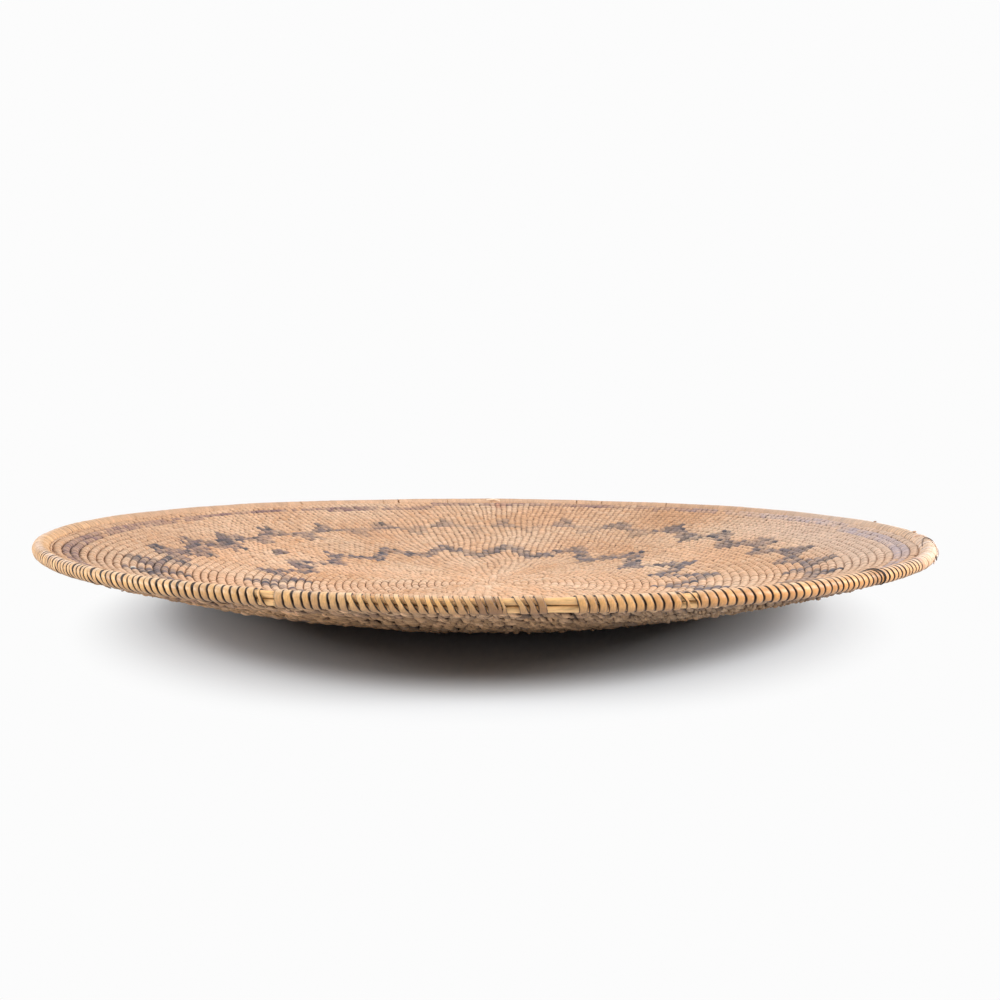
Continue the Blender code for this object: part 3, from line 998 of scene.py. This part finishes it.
# %% Dress each length of the coil
COIL_ENDS = [
    ("centre_coil", 8.0), ("base_coil_inner", 14.5), ("base_coil_outer", 21.5),
    ("inner_zigzag_coil_1", 24.0), ("inner_zigzag_coil_2", 26.5),
    ("inner_zigzag_coil_3", 29.5), ("middle_coil_inner", 33.5), ("middle_coil_outer", 38.0),
    ("outer_zigzag_coil_1", 41.0), ("outer_zigzag_coil_2", 44.0),
    ("upper_coil_inner", 47.5), ("upper_coil_outer", 50.5), ("dark_band_coil", 53.0),
    ("under_rim_coil", LAST_TURN),
]
sewing_rng = np.random.default_rng(13)
start_turn = 0.0
for node, end_turn in COIL_ENDS:
    inside = (stitches["turn"] >= start_turn) & (stitches["turn"] < end_turn)
    undyed = np.flatnonzero(inside & (kind == 0))
    dyed = np.flatnonzero(inside & (kind > 0))
    new_piece(node + "_strands", [face_batch(undyed, sewing_rng)], natural_strand,
              [node])
    under = back_batches(undyed, sewing_rng)
    under.append(stub_batch(undyed[undyed > NO_STUBS_BEFORE], sewing_rng))
    new_piece(node + "_under_strands", under, under_strand)
    if len(dyed):
        batches = [face_batch(dyed, sewing_rng)] + back_batches(dyed, sewing_rng)
        new_piece(node + "_dyed_strands", batches, dyed_strand)
    core, core_caps = core_batch(start_turn, end_turn)
    new_piece(node + "_foundation", [core], core_fibre, caps=core_caps)
    print(node, "natural", len(undyed), "dyed", len(dyed))
    start_turn = end_turn

# %% [markdown]
# The start knot
#
# At the centre the coil begins as a tight ring, wrapped until its hole closes.
# Eleven strips run from the middle over the ring, and two short ones cross it.
# Its foundation is a small closed ring.

# %% Make the start knot
KNOT_STATIONS = 25
KNOT_CORE = 2.0
KNOT_BROWN = np.array([(0.22, 0.13, 0.08)])
CROSSING_TURNS = (0.5, 2.2)
CROSSING_REACH = 3.4
CROSSING_TOP = 3.9


def knot_core():
    """A closed ring inside the knot's strips."""
    turned = np.linspace(0, FULL_TURN, KNOT_STATIONS)[:, None]
    around = circle(CORE_SIDES)[None, :]
    points = on_row(KNOT_TURN, turned, KNOT_CORE * np.cos(around), KNOT_CORE * np.sin(around))
    fibre = triples(np.cos(around), turned * 4, np.sin(around))
    return grid_batch(points[None], KNOT_BROWN, 0.3, fibre[None], closed=True)


def crossing_strips():
    """Two strips that cross over the hole in the middle."""
    batches = []
    for index, turned in enumerate(CROSSING_TURNS):
        s = np.linspace(-1, 1, 9)[:, None]
        u = STRIP_SIDES[None, :]
        along = CROSSING_REACH * s
        x = along * math.cos(turned) - u * math.sin(turned)
        y = along * math.sin(turned) + u * math.cos(turned)
        top = CROSSING_TOP + 0.25 * index + 1.35 * s ** 2
        top = top - 1.6 * np.maximum(0, np.abs(s) - 0.8) * 5
        points = triples(x, y, top - 0.4 * np.abs(u) ** 3)[None]
        # Painted shade and dirt darken the edges of each strip.
        crevice = ramp(np.abs(u), 0.6, 0.4) * 0.7
        fibre = triples(u, along, 30.0 + index)[None]
        batches.append(grid_batch(points, STRAW[None] * 0.95, crevice[None], fibre))
    return batches


knot_stitches = np.flatnonzero(stitches["row"] < 0)
knot_batches = [face_batch(knot_stitches, sewing_rng)]
knot_batches += back_batches(knot_stitches, sewing_rng) + crossing_strips()
new_piece("start_knot_strands", knot_batches, natural_strand, ["start_knot"])
new_piece("start_knot_foundation", [knot_core()], core_fibre)
print("knot strips:", len(knot_stitches))

# %% [markdown]
# The path of the rim
#
# Rods and binding follow one centre line, which wanders a little. The binding is
# worn through at four places at the front. Beside two of them it is thin, so the
# rods show dull there. Seams between wraps show at the front, and the binding is
# smooth at the back.

# %% Follow the rim
RIM_WANDER = 0.12
RIM_LIFT = 0.15
FRONT = 270
BARE = [(251.3, 4.6), (272.5, 3.5), (277.2, 11.0), (288.5, 4.5)]

rim_wobble = wander(51, 8, 24, 400.0)


def facing(degrees):
    """1 at the front of the tray, 0 at the back."""
    return 0.5 + 0.5 * np.cos(np.radians(degrees - FRONT))


def seams_shown(degrees):
    """How strongly the seams of the binding show: fully at the front, hardly at the back."""
    smooth = 0.8 * near(degrees, 198, 14) + 0.75 * near(degrees, 337, 13)
    return np.clip((facing(degrees) - 0.42) * 7, 0.1, 1) * (1 - smooth)


def on_rim(angle, out, up):
    """Points from angles and offsets from the rim's centre line."""
    path = RIM_PATH + RIM_WANDER * rim_wobble(angle, 0.0) - RIM_WANDER + out
    height = wall_height(RIM_PATH) + warp(RIM_PATH, angle) + RIM_LIFT * rim_wobble(angle, 200.0)
    return triples(path * np.cos(angle), path * np.sin(angle), height + up)


def rim_distance(first, second):
    """Distance along the rim between two places in degrees, in mm."""
    return np.abs(first - second) * RIM_PATH * math.pi / 180


print("bare places:", len(BARE), "with", sum(length for _, length in BARE), "mm of rod")

# %% [markdown]
# The rim's rods
#
# The rim is three peeled twigs bent into hoops. They show where the binding has
# worn through, and as thin lines between its wraps. They are a little fatter here
# than in the imported model, where they had to stay clear of the binding. Under
# the wraps they are painted nearly black with painted shade and dirt, and a dark
# line of painted shade and dirt runs where two rods touch.

# %% Make the rods
ROD_RADIUS = 1.42
ROD_RING = 1.6
ROD_STATIONS = 720
ROD_SIDES = 16
ROD_GAP = 0.0012
ROD_GOLD = np.array((1.0, 0.585, 0.25))
ROD_DIRT_AND_SHADE = np.array((0.03, 0.015, 0.009))
ROD_DULL = np.array((0.92, 0.49, 0.20))
BARE_EDGE = 2.6
THIN_MIDDLE = 270.5
THIN_REACH = 12.5
RODS = [("rim_rod_upper", 60, 60, -90), ("rim_rod_lower", -60, 150, 90),
        ("rim_rod_inner", 180, 215, 0)]


def rod_tint(angle):
    """Golden where the rods lie bare, dull where wraps are thin, else nearly black with painted
    shade and dirt.
    """
    place = np.degrees(angle) % 360
    bare = 0.0
    for middle, length in BARE:
        away = rim_distance(place, middle)
        bare = np.maximum(bare, ramp(away, length / 2 + BARE_EDGE, -1.2))
    thin = ramp(np.abs(place - THIN_MIDDLE), THIN_REACH, -2)
    thin = np.maximum(thin, 0.4 * near(place, 286, 8))
    thin = np.maximum(thin, 1 - seams_shown(place))
    return blend_colour(blend_colour(ROD_DIRT_AND_SHADE, ROD_DULL, thin), ROD_GOLD, bare)


for name, seat, joint, touching in RODS:
    start = math.radians(joint) + ROD_GAP
    end = math.radians(joint) + FULL_TURN - ROD_GAP
    turned = np.linspace(start, end, ROD_STATIONS + 1)[:, None]
    around = circle(ROD_SIDES)[None, :]
    seat_angle = math.radians(seat)
    swell = 1 + 0.04 * np.sin(turned * 37 + seat) + 0.03 * np.sin(turned * 91)
    out = ROD_RING * math.cos(seat_angle) + ROD_RADIUS * swell * np.cos(around)
    up = ROD_RING * math.sin(seat_angle) + ROD_RADIUS * swell * np.sin(around)
    points = on_rim(turned, out, up)[None]
    fibre = triples(2 * np.cos(around), turned * 90.0, 2 * np.sin(around) + seat)[None]
    # Painted shade and dirt along the line where two rods touch.
    away = np.abs((np.degrees(around) - touching + 180) % 360 - 180)
    crevice_dirt_and_shade = np.exp(-((away / 26) ** 2))[None]
    batch = grid_batch(points, rod_tint(turned)[None], crevice_dirt_and_shade, fibre, closed=True, flip=True)
    ends = [list(range(ROD_SIDES))[::-1],
            list(range(ROD_STATIONS * ROD_SIDES, (ROD_STATIONS + 1) * ROD_SIDES))]
    new_piece(name + "_twig", [batch], rod_wood, [name], caps=ends)
print("rods:", len(RODS))

# %% [markdown]
# The rim's binding
#
# A pale strand is wrapped round the rods, side by side. Each wrap starts inside,
# slants over the top, drops straight down the outer side and goes back under. It
# is a flat ribbon with rounded edges, and thin dark gaps are left between wraps.
# At the front some wraps are thin or gone. The wraps are about 3.6 mm apart at the
# front and 4.3 mm elsewhere. Seams show at the front and are smooth at the back.

# %% Place the wraps
REMAINS = [(251.0, 1.3), (271.35, 1.8), (271.8, 1.3), (272.15, 1.1), (288.1, 1.1),
           (289.1, 0.9)]
FRONT_PITCH = 3.6
WRAP_PITCHES = np.array([
    (0, 4.3), (130, 4.2), (200, 3.6), (289, 3.6), (293, 4.3), (301, 4.2), (305, 3.65),
    (312, 3.65), (316, 4.4), (342, 4.4)])
WRAP_COVERS = np.array([
    (0, 1.09), (185, 1.09), (206, 0.98), (213, 0.83), (245, 0.84), (253, 0.87), (289, 0.89),
    (293, 0.88), (308, 0.86), (314, 0.78), (322, 0.78), (325, 1.0), (350, 1.09)])
WORN_SPANS = ((259.3, 271), (273.5, 275))
WORN_COVER = 0.62
WORN_BELOW = 0.67
BINDING_START = -14.0
BINDING_END = 346.0
START_GAP = 1.9
END_GAP = 2.1


def thin_share(degrees):
    """How much of its pitch a wrap covers, less where the binding is worn."""
    if any(low < degrees % 360 < high for low, high in WORN_SPANS):
        return WORN_COVER
    return float(read_round(WRAP_COVERS, degrees))


def place_wraps():
    """Angle, width and pitch of every wrap, from the finish all the way round."""
    rng = np.random.default_rng(17)
    found = []
    degrees = BINDING_START + START_GAP
    while degrees < BINDING_END - END_GAP:
        pitch = float(read_round(WRAP_PITCHES, degrees)) * rng.normal(1.0, 0.055)
        step = math.degrees(pitch / RIM_PATH)
        middle = degrees + step / 2
        bare = any(rim_distance(middle, place) < length / 2 + pitch * 0.3
                   for place, length in BARE)
        if not bare:
            found.append((middle, pitch * thin_share(middle) * rng.normal(1.0, 0.035), pitch))
        degrees += step
    remains = [(place, width, FRONT_PITCH) for place, width in REMAINS]
    return np.array(found + remains)


wraps = place_wraps()
print("wraps:", len(wraps))

# %% [markdown]
# The colour of the binding
#
# The strand is pale gold at the front, with a pinkish-white painted highlight along
# the top and painted shade that makes it browner low on the outer side. At the back
# it is as tan as the coil, with a painted whitish sheen at the back right. Two
# places at the front and one at the right are stained.

# %% Colour the wraps
WRAP_STEPS = np.radians(np.linspace(-165, 195, 27))
PALE_GOLD = np.array((0.87, 0.51, 0.22))
BRIGHT_GOLD = np.array((0.87, 0.465, 0.145))
WORN_BROWN = np.array((0.50, 0.235, 0.09))
TOP_HIGHLIGHT = np.array((0.93, 0.68, 0.46))
PINK_WHITE = np.array((0.96, 0.74, 0.62))
LOWER_SHADE_BROWN = np.array((0.65, 0.345, 0.155))
STAIN = np.array((0.27, 0.125, 0.06))
RIGHT_ORANGE = np.array((0.93, 0.77, 0.60))
CREAM = np.array((0.92, 0.70, 0.57))


def wrap_tint(place, rng):
    """The colours of wraps at places in degrees, for each step round the rim."""
    count = len(place)
    a = WRAP_STEPS[None, :, None]
    tint = blend_colour(PALE_GOLD, BRIGHT_GOLD, rng.uniform(0, 0.7, count))
    tint = blend_colour(tint, WORN_BROWN, np.clip(rng.normal(0.22, 0.2, count), 0, 0.8))
    golden = np.clip((facing(place) - 0.35) * 2.2, 0, 1)
    # At the back right the binding takes the painted whitish sheen too.
    behind = blend_colour(STRAW * 0.8, PAINTED_SHEEN, 0.6 * near(place, 4, 30))
    tint = blend_colour(behind, tint, golden)
    tint = tint * (1 + (RIGHT_ORANGE - 1) * near(place, 303, 21)[:, None])
    tint = blend_colour(tint, CREAM, 0.5 * near(place, 338, 15))
    tint = (tint * rng.normal(1.0, 0.06, count)[:, None])[:, None, None, :]
    # A pinkish-white painted highlight along the top of each wrap, strongest at the front.
    rubbed = np.clip(1 - np.abs(a - 1.35) / 0.8, 0, 1) * rng.uniform(0.35, 0.9, (count, 1, 1))
    highlight_colour = blend_colour(TOP_HIGHLIGHT, PINK_WHITE, near(place, 205, 22) + 0.8 * near(place, 324, 14))
    shine = golden * (1 + 0.2 * near(place, 215, 30))
    tint = blend_colour(tint, highlight_colour[:, None, None, :], np.clip(rubbed * each(shine), 0, 1))
    # Painted shade makes the lower outer side of each wrap browner.
    front = each(near(place, 264, 16))
    dull = (0.6 + 0.15 * front) * np.clip((0.1 + 0.2 * front - a) / 0.9, 0, 1)
    tint = blend_colour(tint, LOWER_SHADE_BROWN, dull * each(golden))
    stained = 0.7 * near(place, 270.8, 1.4) + 0.4 * near(place, 312.4, 1.5)
    stained = stained + 0.5 * near(place, 275.2, 1.2)
    return blend_colour(tint, STAIN, each(stained) * np.clip(1.7 - a, 0, 1))


print("steps round the rim:", len(WRAP_STEPS))

# %% [markdown]
# The shape of a wrap
#
# A wrap is a ribbon in 27 steps round the rim and eight points across. It slants
# most at the front left. Its lower end is tucked in, and worn wraps are narrow on
# top and wider below. The last steps reach inwards, into the rows of the coil.

# %% Shape the wraps
WRAP_SIDES = np.array((-1.0, -0.94, -0.7, -0.3, 0.3, 0.7, 0.94, 1.0))
WRAP_SLANTS = np.array([
    (0, 1.7), (190, 1.9), (203, 3.2), (232, 3.2), (244, 1.6), (254, 1.15), (342, 1.15)])
EDGE_ROUND = 0.16
EDGE_DROP = 0.75
REACH_IN = 1.3
TUCK = 0.75
OVER_TOP = math.pi / 2
BINDINGS = [
    ("binding_back_right", BINDING_START, 90.0), ("binding_back_left", 90.0, 180.0),
    ("binding_left", 180.0, 251.3), ("binding_front_left", 251.3, 272.5),
    ("binding_front_middle", 272.5, 277.2), ("binding_front_right", 277.2, 288.5),
    ("binding_right", 288.5, BINDING_END),
]


def wrap_batch(chosen, rng, swell=0.0, lean=1.0):
    """Grids of wraps from rows of angle in degrees, width and pitch."""
    place, width, pitch = chosen.T
    one_each = (len(chosen), 1, 1)
    a = WRAP_STEPS[None, :, None]
    u = WRAP_SIDES[None, None, :]
    worn = each(width / pitch < WORN_BELOW)
    usual = each(read_round(WRAP_SLANTS, place))
    slant = (usual + 0.9 * worn) * lean * rng.normal(1, 0.15, one_each)
    top = -slant * np.sin(np.clip(a, 0, OVER_TOP))
    top = top - 0.3 * slant * np.clip(a - OVER_TOP, 0, 2)
    low_slant = np.clip(0.3 * (slant - 0.6), 0.25, 1.0)
    over = np.where(a > 0, top, -low_slant * slant * a)
    phase = rng.uniform(0, FULL_TURN, one_each)
    ragged = 1 + 0.05 * np.sin(a * 3 + phase) + 0.03 * np.sin(a * 7 + 2 * phase)
    flare = 1 + 0.62 * worn * ramp(-a, 0.1, 0.75)
    aside = over + u * each(width) / 2 * ragged * flare
    end = np.radians(rng.normal(-88, 16, one_each))
    tuck = np.clip((end - a) / 0.35, 0, 1)
    low = rng.uniform(0, 0.14, one_each)
    outside = ramp(a, 1.0, -0.6)
    shown = np.maximum(each(seams_shown(place)), 0.6 * outside * each(facing(place) < 0.6))
    edge = EDGE_ROUND * np.abs(u) ** 3 + np.where(np.abs(u) > OUTERMOST, EDGE_DROP, 0.0)
    lift = RIM_RADIUS + swell - low - edge * shown - TUCK * tuck
    inward = REACH_IN * ramp(a, 1.9, 1.2) ** 2
    angle = each(np.radians(place)) + aside / RIM_PATH
    points = on_rim(angle, lift * np.cos(a) - inward, lift * np.sin(a))
    # Painted shade darkens the lower part and the tucked ends of each wrap, and painted shade
    # and dirt darken its edges.
    seam = ramp(np.abs(u), 0.8, 0.14)
    below = ramp(-a, 0.1, 1.1)
    crevice = np.clip(1.1 * seam * shown + 0.35 * below + 0.45 * tuck, 0, 1)
    fibre = triples(aside, a * RIM_RADIUS, rng.uniform(0, SEED_SPREAD, one_each))
    return grid_batch(points, wrap_tint(place, rng), crevice, fibre, flip=True)


wrap_rng = np.random.default_rng(19)
for node, low, high in BINDINGS:
    chosen = wraps[(wraps[:, 0] >= low) & (wraps[:, 0] < high)]
    new_piece(node + "_wraps", [wrap_batch(chosen, wrap_rng)], rim_strand, [node])
    print(node, len(chosen))

# %% [markdown]
# Loose strands
#
# The loose ends are thin tubes with seven sides. A tube follows a few places on the
# rim: an angle, a place round the rim's section and a height over its middle. The
# path between them is smoothed, and the tube thins towards its end.

# %% Shape a loose strand
LOOSE_SIDES = 7
STEPS_A_PLACE = 6
SMOOTHING_PASSES = 6
LOOSE_FLATNESS = 0.7
LOOSE_TIP = 0.02
TAIL_BROWN = np.array((0.075, 0.038, 0.024))


def unit(vectors):
    """The same directions, all of length 1."""
    return vectors / np.linalg.norm(vectors, axis=1)[:, None]


def loose_strand(thick, tint, seed, places):
    """A thin tube through places on the rim: degrees, degrees round it, and height."""
    spots = np.array(places, float)
    knots = np.linspace(0, 1, len(spots))
    share = np.linspace(0, 1, STEPS_A_PLACE * len(spots))
    path = np.stack([np.interp(share, knots, spots[:, i]) for i in range(3)], -1)
    for _ in range(SMOOTHING_PASSES):
        path[1:-1] = (path[:-2] + 2 * path[1:-1] + path[2:]) / 4
    angle, around = np.radians(path[:, 0]), np.radians(path[:, 1])
    centre = on_rim(angle, path[:, 2] * np.cos(around), path[:, 2] * np.sin(around))
    along = unit(np.gradient(centre, axis=0))
    outward = unit(centre - on_rim(angle, 0, 0))
    aside = np.cross(along, outward)
    theta = circle(LOOSE_SIDES)[None, :]
    share = share[:, None]
    width = thick * (1 - 0.55 * share ** 3)
    width = width * (1 + 0.12 * np.sin(share * 19 + seed))
    width[[0, -1]] = LOOSE_TIP
    points = (centre[:, None, :] + (width * np.cos(theta))[..., None] * aside[:, None, :]
              + (LOOSE_FLATNESS * width * np.sin(theta))[..., None] * outward[:, None, :])
    # Painted shade darkens the side of each loose strand that lies against the rim.
    crevice = 0.5 * np.clip(-np.sin(theta), 0, 1)
    fibre = triples(thick * np.cos(theta), share * 12.0, seed)
    return grid_batch(points[None], tint[None], crevice[None], fibre[None], closed=True)


print("loose strand sides:", LOOSE_SIDES)

# %% [markdown]
# The finish
#
# Where the binding ends, it is wrapped over itself several times. Thirteen wide
# wraps, each a little raised, give the lump. A pale loop of strand runs from the
# inside over the top and along the outer side, with a thin dark end beside it, and
# two short ends stick out of the outer side.

# %% Make the finish
ROSE_BROWN = np.array((0.58, 0.33, 0.24))
OUTER_SIDE_SHADE = np.array((0.80, 0.68, 0.55))
RAISED_SHARE = 0.7
FINISH_WRAPS = [
    (324.6, 6.0, 0.9, 0.1, ROSE_BROWN), (327.2, 4.4, 1.2, 0.15, None),
    (330.0, 5.0, 1.6, 0.2, CREAM), (333.0, 4.6, 1.4, 0.25, None),
    (335.8, 5.4, 1.6, 0.3, CREAM), (338.6, 4.6, 1.2, 0.28, None),
    (341.4, 5.0, 1.8, 0.35, CREAM), (343.8, 4.4, 1.4, 0.3, None),
    (344.6, 3.0, -1.4, 0.5, None), (345.3, 4.2, 1.8, 0.38, CREAM),
    (346.2, 4.4, 1.4, 0.32, None), (347.1, 4.2, 1.6, 0.25, None),
    (348.0, 4.2, 1.2, 0.15, None)]
FINISH_ENDS = [
    (0.8, CREAM * 0.92, 3.0, [
        (349.4, 160, 3.2), (348.9, 120, 3.7), (347.6, 80, 3.9), (345.6, 50, 4.0),
        (343.0, 28, 4.0), (339.0, 12, 3.9), (335.0, -5, 3.8), (333.4, -28, 3.2)]),
    (0.34, TAIL_BROWN * 1.5, 5.0, [
        (331.0, 165, 3.4), (335.0, 160, 3.6), (340.0, 150, 3.8), (343.5, 120, 4.0),
        (344.6, 90, 4.15), (344.0, 45, 4.4), (342.2, 12, 4.4), (338.5, 2, 4.3),
        (335.0, -8, 4.2), (333.6, -30, 3.4)]),
    (0.55, TAIL_BROWN, 7.0, [(333.0, 14, 3.2), (332.3, 0, 4.0), (331.8, -14, 4.3)]),
    (0.6, CREAM * 0.7, 9.0, [(331.4, 0, 3.2), (330.6, -12, 3.9), (329.8, -24, 4.2)]),
]

finish_rng = np.random.default_rng(23)
on_top = np.clip(WRAP_STEPS, 0.3, 1.0)[None, :, None, None]
outer_side = np.clip(1.1 - WRAP_STEPS, 0, 1)[None, :, None, None]
lump = []
for place, width, lean, raised, colour in FINISH_WRAPS:
    row = np.array([(place, width, width * 1.1)])
    batch = wrap_batch(row, finish_rng, swell=raised * RAISED_SHARE, lean=lean)
    if colour is not None:
        batch["tint"] = batch["tint"] + (colour - batch["tint"]) * 0.8 * on_top
    # Painted shade makes the outer side of each wrap darker and more golden.
    batch["tint"] = batch["tint"] * (1 + (OUTER_SIDE_SHADE - 1) * outer_side)
    lump.append(batch)
lump += [loose_strand(*end) for end in FINISH_ENDS]
new_piece("rim_finish_strands", lump, rim_strand, ["rim_finish_knot"])
print("finish strips:", len(lump))

# %% [markdown]
# Loose ends on the rim
#
# A few ends of strand stand out of the binding: two small nubs at the back right, a
# pale one at the very back, and at the front right a dark tail that comes up over
# the rim and runs along it.

# %% Add the loose ends
RIM_ENDS = [
    (0.5, TAIL_BROWN * 0.5, 2.0, [
        (313.2, -62, 3.4), (313.5, -20, 3.75), (313.4, 30, 3.85), (313.0, 70, 3.85),
        (312.4, 105, 3.9), (311.4, 128, 3.8), (310.2, 140, 3.5)]),
    (0.7, STRAW * 0.95, 4.0, [(352.8, 80, 3.0), (352.0, 82, 4.0), (350.9, 86, 4.2)]),
    (0.6, STRAW * 0.6, 6.0, [(7.1, 80, 3.0), (6.6, 84, 3.9), (5.9, 90, 4.1)]),
    (1.1, BONE * 1.05, 8.0, [
        (90.9, 140, 3.2), (90.2, 138, 3.9), (89.3, 136, 4.1), (88.5, 150, 4.0),
        (88.0, 160, 3.3)]),
]
new_piece("rim_loose_ends", [loose_strand(*end) for end in RIM_ENDS], rim_strand)
print("loose ends:", len(RIM_ENDS))

# %% [markdown]
# The floor
#
# The tray lies on white paper. Real paper would turn grey far from the lamps, so the
# floor keeps the shadow in an oval under the tray. Further out the camera sees an
# even white, which doesn't add light to the tray.

# %% Build the floor
PAPER = (0.85, 0.885, 0.93, 1.0)
BACKDROP = (0.973, 0.973, 0.973, 1.0)
SHADOW_OVAL = (1.13, 0.97, 1.0)
SHADOW_START = 0.185
SHADOW_END = 0.262
FLOOR_HALF = 6.0


def seen_directly(tree):
    """1 for rays from the camera, and for mirror and glass rays."""
    path = add_node(tree, "ShaderNodeLightPath").outputs
    seen = path["Is Camera Ray"]
    for ray in ("Is Glossy Ray", "Is Transmission Ray"):
        seen = add_node(tree, "ShaderNodeMath", {0: seen, 1: path[ray]},
                        operation="MAXIMUM").outputs[0]
    return seen


def floor_material():
    """White paper that keeps the shadow near the tray."""
    made = bpy.data.materials.new("paper_floor")
    made.use_nodes = True
    tree = made.node_tree
    tree.nodes.remove(tree.nodes["Principled BSDF"])
    paper = add_node(tree, "ShaderNodeBsdfDiffuse", {"Color": PAPER})
    glow = add_node(tree, "ShaderNodeEmission", {"Color": BACKDROP, "Strength": 1.0})
    place = add_node(tree, "ShaderNodeNewGeometry")
    oval = add_node(tree, "ShaderNodeVectorMath", {
        0: place.outputs["Position"], 1: SHADOW_OVAL}, operation="MULTIPLY")
    reach = add_node(tree, "ShaderNodeVectorMath", {0: oval.outputs["Vector"]},
                     operation="LENGTH")
    away = add_node(tree, "ShaderNodeMapRange", {
        "Value": reach.outputs["Value"], "From Min": SHADOW_START, "From Max": SHADOW_END},
        interpolation_type="SMOOTHSTEP")
    both = add_node(tree, "ShaderNodeMath", {
        0: away.outputs["Result"], 1: seen_directly(tree)}, operation="MULTIPLY")
    mix = add_node(tree, "ShaderNodeMixShader", {
        "Fac": both.outputs[0], 1: paper.outputs["BSDF"], 2: glow.outputs["Emission"]})
    link(tree, mix.outputs["Shader"], tree.nodes["Material Output"].inputs["Surface"])
    return made


floor_mesh = bpy.data.meshes.new("floor")
corners = [(-FLOOR_HALF, -FLOOR_HALF, 0), (FLOOR_HALF, -FLOOR_HALF, 0),
           (FLOOR_HALF, FLOOR_HALF, 0), (-FLOOR_HALF, FLOOR_HALF, 0)]
floor_mesh.from_pydata(corners, [], [(0, 1, 2, 3)])
floor_mesh.materials.append(floor_material())
floor = bpy.data.objects.new("floor", floor_mesh)
bpy.context.scene.collection.objects.link(floor)
print("floor, m:", 2 * FLOOR_HALF)

# %% [markdown]
# The light
#
# The light is soft: one large lamp above, one at each side, and a little from all
# round. The camera sees white behind the tray, and that white isn't what lights it.

# %% Light the tray
ROOM_LIGHT = 0.24
LAMPS = [("overhead", (0.1, 0.3, 1.5), 0.8, 7.0), ("left", (-1.6, -0.36, 0.68), 0.5, 22.0),
         ("right", (1.6, -0.36, 0.68), 0.5, 33.0)]

world = bpy.data.worlds.new("studio")
world.use_nodes = True
bpy.context.scene.world = world
sky = world.node_tree
room = sky.nodes["Background"]
room.inputs["Color"].default_value = (1.0, 1.0, 1.0, 1.0)
room.inputs["Strength"].default_value = ROOM_LIGHT
white = add_node(sky, "ShaderNodeBackground", {"Color": BACKDROP, "Strength": 1.0})
choose = add_node(sky, "ShaderNodeMixShader", {
    "Fac": seen_directly(sky), 1: room.outputs["Background"], 2: white.outputs["Background"]})
link(sky, choose.outputs["Shader"], sky.nodes["World Output"].inputs["Surface"])


def soft_lamp(name, place, size, power):
    """A square lamp that shines at the middle of the tray."""
    data = bpy.data.lights.new(name, "AREA")
    data.shape = "SQUARE"
    data.size = size
    data.energy = power
    lamp = bpy.data.objects.new(name, data)
    lamp.location = place
    aim = -np.array(place)
    yaw = math.atan2(aim[1], aim[0]) - math.pi / 2
    pitch = math.atan2(math.hypot(aim[0], aim[1]), -aim[2])
    lamp.rotation_euler = (pitch, 0.0, yaw)
    bpy.context.scene.collection.objects.link(lamp)


for lamp in LAMPS:
    soft_lamp(*lamp)
print("lamps:", len(LAMPS))

# %% [markdown]
# The view transform
#
# The picture is shown with the standard view transform.

# %% Set the view transform
bpy.context.scene.view_settings.view_transform = "Standard"
